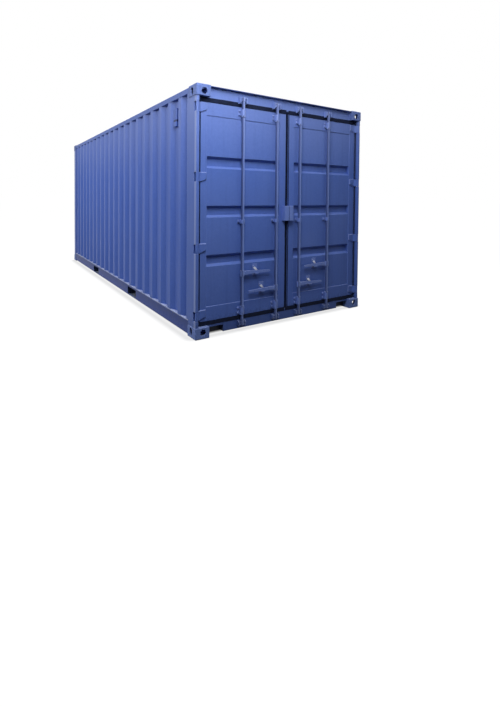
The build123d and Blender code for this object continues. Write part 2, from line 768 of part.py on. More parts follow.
def door_seal(side):
    """Rubber seal around a door: a flat base with a lip in front and one behind."""
    low_x = DOOR_BACK + (DOOR_DEPTH - SEAL_DEPTH) / 2
    edges_y = (side * (DOOR_FREE - SEAL_CENTRE), side * (DOOR_EDGE + SEAL_SIDE))
    edges_z = (DOOR_LOW - SEAL_LOW, DOOR_TOP + SEAL_TOP)
    with BuildPart() as seal:
        with BuildSketch(along(low_x)):
            strip(edges_y, edges_z)
            strip((side * DOOR_FREE, side * DOOR_EDGE), (DOOR_LOW, DOOR_TOP), Mode.SUBTRACT)
        extrude(amount=SEAL_DEPTH)
        with BuildSketch(along(low_x + SEAL_LIP)):
            strip(edges_y, edges_z)
            strip(
                (side * (DOOR_FREE - SEAL_BASE), side * (DOOR_EDGE + SEAL_BASE)),
                (DOOR_LOW - SEAL_BASE, DOOR_TOP + SEAL_BASE),
                Mode.SUBTRACT,
            )
        extrude(amount=SEAL_DEPTH - 2 * SEAL_LIP, mode=Mode.SUBTRACT)
    return seal


def door_hinges(side):
    """Four forged hinge blades, each with its knuckle and pin, whose low edge rises to the tip."""
    tip_y = DOOR_EDGE - HINGE_REACH
    bend_y = DOOR_EDGE - HINGE_BEND_IN
    front, back = radians(NECK_FRONT_ANGLE), radians(NECK_BACK_ANGLE)
    outline = [
        (DOOR_FACE, side * tip_y),
        (DOOR_FACE + HINGE_PLATE, side * tip_y),
        (DOOR_FACE + HINGE_PLATE, side * bend_y),
        (PIN_X + KNUCKLE_R * cos(front), side * (PIN_Y + KNUCKLE_R * sin(front))),
        (PIN_X + KNUCKLE_R * cos(back), side * (PIN_Y + KNUCKLE_R * sin(back))),
        (DOOR_FACE, side * DOOR_EDGE),
    ]
    pin_tall = HINGE_TALL + 2 * (KNUCKLE_GAP + LUG)
    with BuildPart() as hinges:
        for height in HINGE_HEIGHTS:
            low = height - HINGE_TALL / 2
            with BuildSketch(level(low)):
                with BuildLine():
                    Polyline(*outline, close=True)
                make_face()
                with Locations((PIN_X, side * PIN_Y)):
                    Circle(KNUCKLE_R)
            extrude(amount=HINGE_TALL)
            wedge = [(side * tip_y, low), (side * bend_y, low), (side * tip_y, low + HINGE_TIP_RISE)]
            with BuildSketch(along(DOOR_FACE)):
                with BuildLine():
                    Polyline(*wedge, close=True)
                make_face()
            extrude(amount=HINGE_PLATE, mode=Mode.SUBTRACT)
            with Locations((PIN_X, side * PIN_Y, height)):
                Cylinder(PIN_R, pin_tall)
    return hinges


def rod_guides(side):
    """Bearing brackets that hold the two locking rods of a door."""
    spans = (
        (GUIDE_TOP, GUIDE_TOP_TALL, DOOR_FACE),
        (GUIDE_MIDDLE, GUIDE_MIDDLE_TALL, PANEL_FACE),
        (GUIDE_LOW, GUIDE_LOW_TALL, DOOR_FACE),
    )
    bore = ROD_R + ROD_GAP
    saddle = bore + GUIDE_WALL
    with BuildPart() as guides:
        for distance in (ROD_INNER_Y, ROD_OUTER_Y):
            y = side * distance
            for low, tall, seat in spans:
                with BuildSketch(level(low)):
                    strip((seat, seat + GUIDE_PLATE), (y - GUIDE_WIDTH / 2, y + GUIDE_WIDTH / 2))
                    strip((seat, ROD_X), (y - saddle, y + saddle))
                    with Locations((ROD_X, y)):
                        Circle(saddle)
                        Circle(bore, mode=Mode.SUBTRACT)
                extrude(amount=tall)
    return guides


def cam_keepers():
    """Pairs of horns on the header and the sill that the cams of the rods turn into."""
    levels = (
        (ROD_TOP - KEEPER_TOP_TALL, KEEPER_TOP_TALL),
        (ROD_LOW, KEEPER_LOW_TALL),
    )
    places = [side * distance for side in (LEFT, RIGHT) for distance in (ROD_INNER_Y, ROD_OUTER_Y)]
    with BuildPart() as keepers:
        for y in places:
            for low, tall in levels:
                wide = CAM_ROOM + KEEPER_EAR
                block((DOOR_FACE, DOOR_FACE + KEEPER_PLATE), (y - wide, y + wide), (low, low + tall))
                for ear_end in (y - CAM_ROOM, y + wide):
                    with BuildSketch(across(ear_end)) as ear:
                        strip((DOOR_FACE, DOOR_FACE + KEEPER_OUT), (low, low + tall))
                        chamfer(ear.vertices().group_by(Axis.X)[-1], KEEPER_CHAMFER)
                    extrude(amount=KEEPER_EAR)
    return keepers


def handle_side(inner):
    """Way that a rod's handle points from it: towards the other rod of the same door."""
    return 1 if inner else -1


def lock_rod(side, inner):
    """Locking rod with a cam at each end, two collars and the hub that carries its handle."""
    y = side * (ROD_INNER_Y if inner else ROD_OUTER_Y)
    way = side * handle_side(inner)
    handle_z = HANDLE_INNER_Z if inner else HANDLE_OUTER_Z
    pivot_y = y + way * HANDLE_PIVOT
    tip_y = y + way * (CAM_REACH - CAM_TIP_R)
    with BuildPart() as rod:
        with BuildSketch(level(ROD_LOW)):
            with Locations((ROD_X, y)):
                Circle(ROD_R)
        extrude(amount=ROD_TOP - ROD_LOW)
        for low in (ROD_LOW + CAM_IN, ROD_TOP - CAM_IN - CAM_TALL):
            with BuildSketch(level(low)):
                with Locations((ROD_X, y)):
                    Circle(CAM_R)
            extrude(amount=CAM_TALL)
            for lobe in (low, low + CAM_TALL - CAM_LOBE):
                with BuildSketch(level(lobe)):
                    with Locations((ROD_X, y)):
                        Circle(CAM_R)
                    with Locations((ROD_X, tip_y)):
                        Circle(CAM_TIP_R)
                    strip((ROD_X - CAM_TIP_R, ROD_X + CAM_TIP_R), (y, tip_y))
                extrude(amount=CAM_LOBE)
        for low in (GUIDE_LOW + GUIDE_LOW_TALL + SEAT_GAP, GUIDE_TOP - SEAT_GAP - COLLAR_TALL):
            with BuildSketch(level(low)):
                with Locations((ROD_X, y)):
                    Circle(COLLAR_R)
            extrude(amount=COLLAR_TALL)
        with BuildSketch(level(handle_z - HUB_TALL / 2)):
            with Locations((ROD_X, y)):
                Circle(COLLAR_R)
        extrude(amount=HUB_TALL)
        with BuildSketch(along(ROD_X - TONGUE / 2)):
            strip((y, pivot_y), (handle_z - TONGUE_R, handle_z + TONGUE_R))
            with Locations((pivot_y, handle_z)):
                Circle(TONGUE_R)
                Circle(RIVET_R + TONGUE_GAP / 2, mode=Mode.SUBTRACT)
        extrude(amount=TONGUE)
    return rod


def lock_handle(side, inner):
    """Tapered lever with two cheeks that hold the hub's tongue, and the rivet through them."""
    y = side * (ROD_INNER_Y if inner else ROD_OUTER_Y)
    way = side * handle_side(inner)
    handle_z = HANDLE_INNER_Z if inner else HANDLE_OUTER_Z
    pivot_y = y + way * HANDLE_PIVOT
    tip_y = y + way * (HANDLE_LENGTH - HANDLE_TIP_R)
    room = TONGUE_R + HANDLE_ROOM
    cheek_end = pivot_y + way * (room + HANDLE_EYE_R)
    half_fork = TONGUE / 2 + TONGUE_GAP + HANDLE_CHEEK
    low = handle_z - HANDLE_BELOW
    outline = [
        (pivot_y + way * room, low),
        (tip_y, low),
        (tip_y, low + 2 * HANDLE_TIP_R),
        (cheek_end, handle_z + HANDLE_ABOVE),
        (pivot_y + way * room, handle_z + HANDLE_ABOVE),
    ]
    with BuildPart() as handle:
        with BuildSketch(along(ROD_X - half_fork)):
            with Locations((pivot_y, handle_z)):
                Circle(HANDLE_EYE_R)
            strip((pivot_y, cheek_end), (low, handle_z + HANDLE_ABOVE))
        extrude(amount=2 * half_fork)
        with BuildSketch(along(ROD_X - TONGUE / 2 - TONGUE_GAP)):
            with Locations((pivot_y, handle_z)):
                Circle(room)
            strip((pivot_y - way * room, pivot_y), (handle_z - room, handle_z + room))
        extrude(amount=TONGUE + 2 * TONGUE_GAP, mode=Mode.SUBTRACT)
        with BuildSketch(along(ROD_X - HANDLE_BAR / 2)):
            with BuildLine():
                Polyline(*outline, close=True)
            make_face()
            with Locations((tip_y, low + HANDLE_TIP_R)):
                Circle(HANDLE_TIP_R)
            with Locations((pivot_y, handle_z)):
                Circle(room, mode=Mode.SUBTRACT)
        extrude(amount=HANDLE_BAR)
        with BuildSketch(along(ROD_X - half_fork)):
            with Locations((pivot_y, handle_z)):
                Circle(RIVET_R)
        extrude(amount=2 * half_fork)
    return handle


def retainer_place(side, inner):
    """Middle of a handle's bracket across the door, and the handle's height."""
    if inner:
        return side * RETAINER_INNER_Y, HANDLE_INNER_Z
    return side * RETAINER_OUTER_Y, HANDLE_OUTER_Z


def handle_retainers(side):
    """Brackets on the door: a plate with a shelf under the handle and a pin for its catch."""
    with BuildPart() as retainers:
        for inner in (False, True):
            y, z = retainer_place(side, inner)
            shelf_top = z - HANDLE_BELOW - SEAT_GAP
            block(
                (PANEL_FACE, PANEL_FACE + RETAINER_PLATE),
                (y - RETAINER_WIDTH / 2, y + RETAINER_WIDTH / 2),
                (z - RETAINER_DOWN, z + RETAINER_UP),
            )
            block(
                (PANEL_FACE, PANEL_FACE + RETAINER_PLATE + SHELF_OUT),
                (y - SHELF_WIDTH / 2, y + SHELF_WIDTH / 2),
                (shelf_top - SHELF, shelf_top),
            )
            with BuildSketch(along(PANEL_FACE)):
                with Locations((y - CATCH_SIDE, z + CATCH_UP)):
                    Circle(CATCH_PIN_R)
            extrude(amount=RETAINER_PLATE + CATCH_PLATE + 2 * SEAT_GAP)
            with BuildSketch(along(PANEL_FACE + RETAINER_PLATE + CATCH_PLATE + 2 * SEAT_GAP)):
                with Locations((y - CATCH_SIDE, z + CATCH_UP)):
                    Circle(CATCH_HEAD_R)
            extrude(amount=CATCH_HEAD)
    return retainers


def handle_catch(side, inner):
    """Flat catch that hangs aslant from the pin above a handle."""
    y, z = retainer_place(side, inner)
    with BuildPart() as catch:
        with BuildSketch(along(PANEL_FACE + RETAINER_PLATE + SEAT_GAP)):
            with Locations(Location((y - CATCH_SIDE, z + CATCH_UP), CATCH_ANGLE)):
                with Locations((CATCH_LENGTH / 2, 0)):
                    SlotCenterToCenter(CATCH_LENGTH, CATCH_WIDTH)
                Circle(CATCH_PIN_R + SEAT_GAP, mode=Mode.SUBTRACT)
        extrude(amount=CATCH_PLATE)
    return catch


def lock_box(side):
    """One half of the open-bottomed cover over the padlock."""
    outer_y = side * LOCK_HALF_WIDTH
    split_y = side * LOCK_SPLIT
    with BuildPart() as box:
        block((DOOR_FACE, HALF_LENGTH), (split_y, outer_y), (LOCK_LOW, LOCK_TOP))
        upright = box.edges().filter_by(Axis.Z).sort_by_distance(Vertex(HALF_LENGTH, outer_y, LOCK_TOP))[0]
        top_front = box.edges().filter_by(Axis.Y).sort_by_distance(Vertex(HALF_LENGTH, outer_y, LOCK_TOP))[0]
        fillet([upright, top_front], LOCK_ROUND)
        block(
            (DOOR_FACE, HALF_LENGTH - LOCK_WALL),
            (split_y, side * (LOCK_HALF_WIDTH - LOCK_WALL)),
            (LOCK_LOW, LOCK_TOP - LOCK_WALL),
            Mode.SUBTRACT,
        )
    return box


def main():
    """Build every piece and write it under its own name."""
    os.makedirs("parts", exist_ok=True)
    ends = ((REAR, "rear"), (FRONT, "front"))
    sides = ((LEFT, "left"), (RIGHT, "right"))
    for end, end_name in ends:
        for side, side_name in sides:
            save(corner_fitting(end, side, True), f"{end_name}_top_fitting_{side_name}")
            save(corner_fitting(end, side, False), f"{end_name}_bottom_fitting_{side_name}")
    for side, name in sides:
        save(rear_post(side), f"rear_post_{name}")
        save(front_post(side), f"front_post_{name}")
        save(top_side_rail(side), f"top_side_rail_{name}")
        save(bottom_side_rail(side), f"bottom_side_rail_{name}")
        save(side_panel(side), f"side_panel_{name}")
        save(door_frame(side), f"{name}_door_frame")
        save(door_panel(side), f"{name}_door_panel")
        save(door_seal(side), f"{name}_door_seal")
        save(door_hinges(side), f"{name}_door_hinges")
        save(rod_guides(side), f"{name}_rod_guides")
        save(handle_retainers(side), f"{name}_handle_retainers")
        save(lock_box(side), f"{name}_lock_box")
        for inner, place in ((False, "outer"), (True, "inner")):
            save(lock_rod(side, inner), f"{name}_{place}_rod")
            save(lock_handle(side, inner), f"{name}_{place}_handle")
            save(handle_catch(side, inner), f"{name}_{place}_catch")
    save(front_top_rail(), "front_top_rail")
    save(front_bottom_rail(), "front_bottom_rail")
    save(front_panel(), "front_panel")
    save(roof_panel(), "roof_panel")
    save(floor_deck(), "floor")
    save(cross_members(), "cross_members")
    save(fork_pockets(), "fork_pockets")
    save(door_header(), "door_header")
    save(door_sill(), "door_sill")
    save(ventilators(), "ventilators")
    save(cam_keepers(), "cam_keepers")


main()
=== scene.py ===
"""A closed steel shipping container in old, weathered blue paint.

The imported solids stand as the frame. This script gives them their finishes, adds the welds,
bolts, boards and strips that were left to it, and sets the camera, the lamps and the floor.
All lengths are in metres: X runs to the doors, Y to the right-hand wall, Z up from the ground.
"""

import logging
import math
from dataclasses import dataclass, field, replace
from enum import Enum, IntEnum
from functools import cache

import bmesh
import bpy
import numpy as np
from mathutils import Matrix, Vector

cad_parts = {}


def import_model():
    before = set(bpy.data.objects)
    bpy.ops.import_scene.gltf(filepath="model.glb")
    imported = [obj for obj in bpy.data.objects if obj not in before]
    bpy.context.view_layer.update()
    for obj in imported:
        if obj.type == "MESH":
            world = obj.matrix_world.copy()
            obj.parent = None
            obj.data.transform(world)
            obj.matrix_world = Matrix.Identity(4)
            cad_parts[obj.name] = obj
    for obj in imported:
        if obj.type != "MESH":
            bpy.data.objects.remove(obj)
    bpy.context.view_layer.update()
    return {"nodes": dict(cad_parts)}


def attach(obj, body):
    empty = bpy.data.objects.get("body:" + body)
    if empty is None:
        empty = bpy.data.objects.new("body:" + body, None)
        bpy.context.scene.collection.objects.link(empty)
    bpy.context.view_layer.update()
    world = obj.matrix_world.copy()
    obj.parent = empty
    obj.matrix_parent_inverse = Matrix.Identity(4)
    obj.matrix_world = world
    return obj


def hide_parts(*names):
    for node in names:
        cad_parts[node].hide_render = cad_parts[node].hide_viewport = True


log = logging.getLogger("container")

Socket = bpy.types.NodeSocket
Point = tuple[float, float, float]
Pair = tuple[float, float]
Colour = tuple[float, float, float, float]
Value = Socket | float | tuple | Vector

X_AXIS, Y_AXIS, Z_AXIS = (1, 0, 0), (0, 1, 0), (0, 0, 1)


class Side(IntEnum):
    """The two sides of the container, by the sign of Y."""

    LEFT = -1
    RIGHT = 1

    def named(self, what: str) -> str:
        """Names something after its side.

        Args:
            what: The rest of the name.

        Returns:
            The full name.
        """
        return f"{self.name.lower()}_{what}"


class Slot(Enum):
    """The record's finishes, by the name of their slot."""

    PAINT = "blue_paint"
    COAT = "underside_coat"
    WOOD = "plywood"
    RUBBER = "rubber"
    STEEL = "bare_steel"


class Facing(Enum):
    """Which way a small fitting looks: two axes across it, then the one it stands out along."""

    UP = (X_AXIS, Y_AXIS, Z_AXIS)
    DOORS = (Y_AXIS, Z_AXIS, X_AXIS)
    HOLD = (Y_AXIS, Z_AXIS, (-1, 0, 0))
    LEFT_WALL = (X_AXIS, Z_AXIS, (0, -1, 0))
    RIGHT_WALL = (X_AXIS, Z_AXIS, Y_AXIS)


def placed(name: str, data: bpy.types.ID) -> bpy.types.Object:
    """Puts a new object into the scene, at the origin.

    Args:
        name: The object's name.
        data: Its mesh, lamp or camera.

    Returns:
        The new object.
    """
    made = bpy.data.objects.new(name, data)
    bpy.context.scene.collection.objects.link(made)
    return made


# ---- Shader nodes ----


class Graph:
    """Short calls that lay out the nodes of one tree."""

    def __init__(self, tree: bpy.types.NodeTree) -> None:
        """Empties the tree and keeps it.

        Args:
            tree: The node tree of a material, a world or a group.
        """
        tree.nodes.clear()
        self.tree = tree

    @classmethod
    def material(cls, name: str) -> tuple[bpy.types.Material, "Graph"]:
        """Starts an empty material.

        Args:
            name: The material's name.

        Returns:
            The material and its graph.
        """
        made = bpy.data.materials.new(name)
        made.use_nodes = True
        return made, cls(made.node_tree)

    def node(self, kind: str, inputs: dict[str | int, Value] | None = None, **settings: object) -> bpy.types.Node:
        """Adds a node and fills its inputs.

        Args:
            kind: Blender's type name of the node.
            inputs: An output socket, number, vector or colour for each input, by its name or place.
            settings: Properties of the node, by name.

        Returns:
            The new node.
        """
        made = self.tree.nodes.new(kind)
        for name, value in settings.items():
            setattr(made, name, value)
        for key, value in (inputs or {}).items():
            if isinstance(value, Socket):
                self.tree.links.new(value, made.inputs[key])
            else:
                made.inputs[key].default_value = value
        return made

    def math(self, operation: str, *values: Value) -> Socket:
        """Adds a Math node.

        Args:
            operation: Its operation.
            values: Its inputs in order.

        Returns:
            The result's socket.
        """
        return self.node("ShaderNodeMath", dict(enumerate(values)), operation=operation).outputs[0]

    def times(self, first: Value, *others: Value) -> Value:
        """Multiplies values.

        Args:
            first: The first value.
            others: Those it is multiplied by.

        Returns:
            The product.
        """
        for other in others:
            first = self.math("MULTIPLY", first, other)
        return first

    def mix(self, share: Value, under: Value, over: Value, blend: str = "MIX") -> Socket:
        """Mixes two colours.

        Args:
            share: How much of the second shows, from 0 to 1.
            under: The first colour.
            over: The second colour.
            blend: How the two are put together.

        Returns:
            The mixed colour's socket.
        """
        made = self.node("ShaderNodeMix", {0: share, 6: under, 7: over}, data_type="RGBA", blend_type=blend)
        return made.outputs[2]

    def between(self, value: Value, low: float, high: float, start: Value = 0.0, end: Value = 1.0) -> Socket:
        """Maps a value from one range to another and holds it inside.

        Args:
            value: What is mapped.
            low: The value that becomes start.
            high: The value that becomes end.
            start: The result at low.
            end: The result at high.

        Returns:
            The result's socket.
        """
        made = self.node("ShaderNodeMapRange", {"Value": value, "From Min": low, "From Max": high,
                                                "To Min": start, "To Max": end})
        return made.outputs[0]

    def place(self, stretch: Point = (1, 1, 1)) -> Socket:
        """Object coordinates, stretched.

        Args:
            stretch: The factor on each axis.

        Returns:
            The coordinates' socket.
        """
        where = self.node("ShaderNodeTexCoord").outputs["Object"]
        if stretch == (1, 1, 1):
            return where
        return self.node("ShaderNodeMapping", {"Vector": where, "Scale": stretch}).outputs[0]

    def parts(self, vector: Value | None = None) -> tuple[Socket, Socket, Socket]:
        """Splits a vector.

        Args:
            vector: The vector, or nothing for the object coordinates.

        Returns:
            Its X, Y and Z.
        """
        return tuple(self.node("ShaderNodeSeparateXYZ", {0: vector or self.place()}).outputs)

    def noise(self, size: Value, detail: float, rough: float, stretch: Point = (1, 1, 1)) -> Socket:
        """Adds a noise texture in object coordinates.

        Args:
            size: Its scale: how many lumps to a metre.
            detail: Its octaves.
            rough: The weight of the finer octaves.
            stretch: The factor on each axis of its coordinates.

        Returns:
            The noise value's socket.
        """
        made = self.node("ShaderNodeTexNoise", {"Vector": self.place(stretch), "Scale": size,
                                                "Detail": detail, "Roughness": rough})
        return made.outputs[0]

    def bump(self, height: Value, depth: float, normal: Socket | None = None) -> Socket:
        """Turns a height into a normal.

        Args:
            height: The height, from 0 to 1.
            depth: The depth in metres that a height of 1 stands for.
            normal: The normal to start from.

        Returns:
            The new normal's socket.
        """
        start = {"Normal": normal} if normal else {}
        return self.node("ShaderNodeBump", {"Height": height, "Distance": depth, **start}).outputs[0]

    def group(self, tree: bpy.types.NodeTree, **values: Value) -> bpy.types.bpy_prop_collection:
        """Places a shared node group.

        Args:
            tree: The group.
            values: Its inputs by name.

        Returns:
            The outputs of the group's node.
        """
        return self.node("ShaderNodeGroup", values, node_tree=tree).outputs


# ---- Effects that more than one finish uses, each one node group ----

# Pale blue for sun chalking and a painted sheen towards the roof, and grey for dust.
SHEEN_AND_CHALK_COLOUR = (0.235, 0.290, 0.500, 1)
DUSTED = (0.34, 0.38, 0.46, 1)


def started(name: str, outputs: dict[str, str],
            **inputs: float | Colour) -> tuple[Graph, bpy.types.bpy_prop_collection]:
    """Starts a group with its sockets.

    Args:
        name: The group's name.
        outputs: Socket type of each output.
        inputs: First value of each input, a number or a colour.

    Returns:
        The group's graph, and the sockets that give its inputs.
    """
    tree = bpy.data.node_groups.new(name, "ShaderNodeTree")
    for label, value in inputs.items():
        kind = "NodeSocketColor" if isinstance(value, tuple) else "NodeSocketFloat"
        tree.interface.new_socket(label, in_out="INPUT", socket_type=kind).default_value = value
    for label, kind in outputs.items():
        tree.interface.new_socket(label, in_out="OUTPUT", socket_type=f"NodeSocket{kind}")
    graph = Graph(tree)
    return graph, graph.node("NodeGroupInput").outputs


@cache
def edge_mask() -> bpy.types.NodeTree:
    """Rounds sharp edges and finds them.

    The normal averaged over a small radius is set against the plain one: where they part,
    an edge is near. Some noise breaks the mask up, as rubbing does.

    Returns:
        A group with a radius, and a mask and a rounded normal.
    """
    graph, given = started("edge_mask", {"Mask": "Float", "Normal": "Vector"}, Radius=0.003)
    rounded = graph.node("ShaderNodeBevel", {"Radius": given["Radius"]}, samples=4).outputs[0]
    plain = graph.node("ShaderNodeNewGeometry").outputs["Normal"]
    dot = graph.node("ShaderNodeVectorMath", {0: rounded, 1: plain}, operation="DOT_PRODUCT")
    near = graph.between(dot.outputs["Value"], 0.99, 0.8)
    broken = graph.between(graph.noise(46.0, 4.0, 0.62), 0.42, 0.62)
    graph.node("NodeGroupOutput", {"Mask": graph.times(near, broken), "Normal": rounded})
    return graph.tree


@cache
def paint_weather() -> bpy.types.NodeTree:
    """Lets a coat of paint age.

    Large clouds fade it, fine ones mottle it, upright streaks run down it, sun chalking and a
    painted sheen pale it towards the roof, dust lies on what looks up, and road dirt and painted
    shade darken sill, rails and feet.

    Returns:
        A group with two colours and six strengths, and a colour and a roughness.
    """
    graph, given = started(
        "paint_weather", {"Colour": "Color", "Roughness": "Float"},
        Paint=(0.1, 0.16, 0.45, 1), Faded=(0.2, 0.27, 0.5, 1), Fading=0.3, Streaks=0.2, Dust=0.3,
        Shine=0.45, Chalk=0.3, Grime=0.34)
    mottle = graph.noise(34.0, 3.0, 0.6)
    ragged = graph.math("ADD", graph.parts()[2], graph.between(mottle, 0.3, 0.7, -0.04, 0.04))
    clouds = graph.between(graph.noise(1.3, 4.0, 0.55), 0.38, 0.66)
    colour = graph.mix(graph.times(clouds, given["Fading"]), given["Paint"], given["Faded"])
    # Towards the roof the paint pales: sun chalking and a painted sheen.
    chalk = graph.times(graph.between(ragged, 1.75, 2.55), given["Chalk"])
    colour = graph.mix(chalk, colour, SHEEN_AND_CHALK_COLOUR)
    runs = graph.between(graph.noise(2.2, 3.0, 0.6, (7.5, 7.5, 0.42)), 0.5, 0.76)
    dry = graph.math("SUBTRACT", 1.0, graph.times(runs, given["Streaks"]))
    # Below about 0.2 m the colour darkens: road dirt and painted shade near the ground.
    low_darkening = graph.between(ragged, 0.11, 0.21, graph.math("SUBTRACT", 1.0, given["Grime"]), 1.0)
    level = graph.times(graph.between(mottle, 0.3, 0.7, 0.965, 1.03), dry, low_darkening)
    colour = graph.mix(1.0, colour, level, "MULTIPLY")
    slope = graph.parts(graph.node("ShaderNodeNewGeometry").outputs["Normal"])
    grit = graph.between(graph.noise(9.0, 4.0, 0.6), 0.3, 0.65, 0.45, 1.0)
    lying = graph.times(graph.between(slope[2], 0.35, 0.9), grit, given["Dust"])
    colour = graph.mix(lying, colour, DUSTED)
    rough = graph.math("ADD", given["Shine"], graph.between(mottle, 0.3, 0.7, -0.05, 0.06))
    rough = graph.math("MINIMUM", graph.math("ADD", rough, graph.times(lying, 0.3)), 1.0)
    graph.node("NodeGroupOutput", {"Colour": colour, "Roughness": rough})
    return graph.tree


@cache
def sheet_waves() -> bpy.types.NodeTree:
    """Lets thin sheet wave between its folds.

    Broad noise, longer upwards than across, with a second one at a third of its size.

    Returns:
        A group that puts out a height.
    """
    graph, given = started("sheet_waves", {"Height": "Float"}, Size=2.4)
    broad = graph.noise(given["Size"], 1.0, 0.4, (1.0, 1.0, 0.55))
    small = graph.noise(graph.times(given["Size"], 3.1), 1.0, 0.4)
    height = graph.math("ADD", graph.times(broad, 0.8), graph.times(small, 0.2))
    graph.node("NodeGroupOutput", {"Height": height})
    return graph.tree


@cache
def metal_skin() -> bpy.types.NodeTree:
    """Roughens a surface as casting, rolling or spraying leaves it.

    Noise at the given size, with pits where a coarser noise is low.

    Returns:
        A group that puts out a height.
    """
    graph, given = started("metal_skin", {"Height": "Float"}, Size=180.0)
    lumps = graph.noise(given["Size"], 3.0, 0.6)
    pits = graph.between(graph.noise(graph.times(given["Size"], 0.3), 2.0, 0.5), 0.28, 0.42)
    graph.node("NodeGroupOutput", {"Height": graph.times(lumps, pits)})
    return graph.tree


# ---- Kinds of finish ----


class Gauge(Enum):
    """What a mark's ramp runs along."""

    X = "the place along the container"
    Y = "the place across it"
    Z = "the height"
    OFF_MIDDLE = "the distance from the middle plane"
    SIDEWAYS = "how squarely a face looks to a side, from 0 to 1"

    def read(self, graph: Graph) -> Socket:
        """Finds its value at each point of a surface.

        Args:
            graph: The material's graph.

        Returns:
            The value's socket.
        """
        if self is Gauge.SIDEWAYS:
            facing = graph.node("ShaderNodeNewGeometry").outputs["True Normal"]
            return graph.math("ABSOLUTE", graph.parts(facing)[1])
        if self is Gauge.OFF_MIDDLE:
            return graph.math("ABSOLUTE", graph.parts()[1])
        return graph.parts()["XYZ".index(self.name)]


@dataclass(frozen=True)
class Mark:
    """A patch of painted shade, or of painted highlight, in one place on the container.

    Each ramp is a gauge, the value where the mark starts to show and the value where it is full.
    The mark shows by the product of its ramps and its strength.
    """

    colour: Colour
    ramps: tuple[tuple[Gauge, float, float], ...] = ()
    strength: float = 1.0
    blend: str = "MIX"

    def over(self, graph: Graph, colour: Value) -> Socket:
        """Lays the mark over a colour.

        Args:
            graph: The material's graph.
            colour: The colour so far.

        Returns:
            The new colour.
        """
        ramps = [graph.between(gauge.read(graph), start, full) for gauge, start, full in self.ramps]
        return graph.mix(graph.times(self.strength, *ramps), colour, self.colour, self.blend)


@dataclass(frozen=True)
class Finish:
    """One material; each kind of finish says what its surface is like."""

    name: str
    slot: Slot

    def surface(self, graph: Graph) -> dict[str, Value]:
        """Lays the nodes of the surface.

        Args:
            graph: The material's graph.

        Returns:
            What goes into the shader, by the names of its inputs.
        """
        raise NotImplementedError

    @cache
    def material(self) -> bpy.types.Material:
        """Makes the material, when it is first put on.

        Returns:
            The material.
        """
        made, graph = Graph.material(self.name)
        shader = graph.node("ShaderNodeBsdfPrincipled", self.surface(graph))
        graph.node("ShaderNodeOutputMaterial", {"Surface": shader.outputs[0]})
        return made


@dataclass(frozen=True)
class Paint(Finish):
    """Coloured paint on steel, the same blue on sheet, section, casting and door gear."""

    slot: Slot = Slot.PAINT
    waves: float = 0.0
    wave_size: float = 2.4
    skin: float = 0.00012
    skin_size: float = 150.0
    # This edge strength and the edge colour at the end lighten the edges: rubbed paint and a painted highlight.
    wear_and_highlight: float = 0.35
    rounding: float = 0.0025
    shine: float = 0.46
    gloss: float = 0.13
    fading: float = 0.3
    streaks: float = 0.08
    dust: float = 0.4
    # The next two pale the paint towards the roof, for sun chalking and a painted sheen, and darken it near the
    # ground, for road dirt and painted shade.
    chalk: float = 0.28
    grime: float = 0.34
    paint: Colour = (0.074, 0.137, 0.440, 1)
    faded: Colour = (0.118, 0.184, 0.480, 1)
    worn_and_highlit: Colour = (0.330, 0.395, 0.610, 1)
    marks: tuple[Mark, ...] = ()

    def surface(self, graph: Graph) -> dict[str, Value]:
        """Weathers the paint, lightens its edges for rubbed paint and a painted highlight, lays its marks on and
        roughens it.

        Args:
            graph: The material's graph.

        Returns:
            What goes into the shader.
        """
        weather = graph.group(paint_weather(), Paint=self.paint, Faded=self.faded, Fading=self.fading,
                              Streaks=self.streaks, Dust=self.dust, Shine=self.shine, Chalk=self.chalk,
                              Grime=self.grime)
        edges = graph.group(edge_mask(), Radius=self.rounding)
        # The edges lighten: rubbed paint and a painted highlight.
        colour = graph.mix(graph.times(edges["Mask"], self.wear_and_highlight), weather["Colour"], self.worn_and_highlit)
        for mark in self.marks:
            colour = mark.over(graph, colour)
        skin = graph.group(metal_skin(), Size=self.skin_size)
        normal = graph.bump(skin["Height"], self.skin, edges["Normal"])
        if self.waves:
            waves = graph.group(sheet_waves(), Size=self.wave_size)
            normal = graph.bump(waves["Height"], self.waves, normal)
        return {"Base Color": colour, "Roughness": weather["Roughness"], "Normal": normal,
                "Specular IOR Level": self.gloss}


@dataclass(frozen=True)
class Spotted(Finish):
    """An unpainted surface with spots of another colour and roughness.

    Spots are the size and octaves of their noise, starts the noise values where a spot starts and
    is full, and grit the size and depth of the skin. A pair of colours, roughnesses or metallic
    shares is the surface's own and the spots'.
    """

    spots: Pair
    starts: Pair
    colours: tuple[Colour, Colour]
    rough: Pair
    grit: Pair
    metal: Pair | None = None
    gloss: float = 0.5
    rounding: float = 0.0

    def surface(self, graph: Graph) -> dict[str, Value]:
        """Spots the surface and roughens it.

        Args:
            graph: The material's graph.

        Returns:
            What goes into the shader.
        """
        size, depth = self.grit
        spots = graph.between(graph.noise(*self.spots, 0.6), *self.starts)
        rounded = graph.group(edge_mask(), Radius=self.rounding)["Normal"] if self.rounding else None
        filled = {"Base Color": graph.mix(spots, *self.colours),
                  "Roughness": graph.between(spots, 0.0, 1.0, *self.rough),
                  "Normal": graph.bump(graph.group(metal_skin(), Size=size)["Height"], depth, rounded),
                  "Specular IOR Level": self.gloss}
        if self.metal:
            filled["Metallic"] = graph.between(spots, 0.0, 1.0, *self.metal)
        return filled


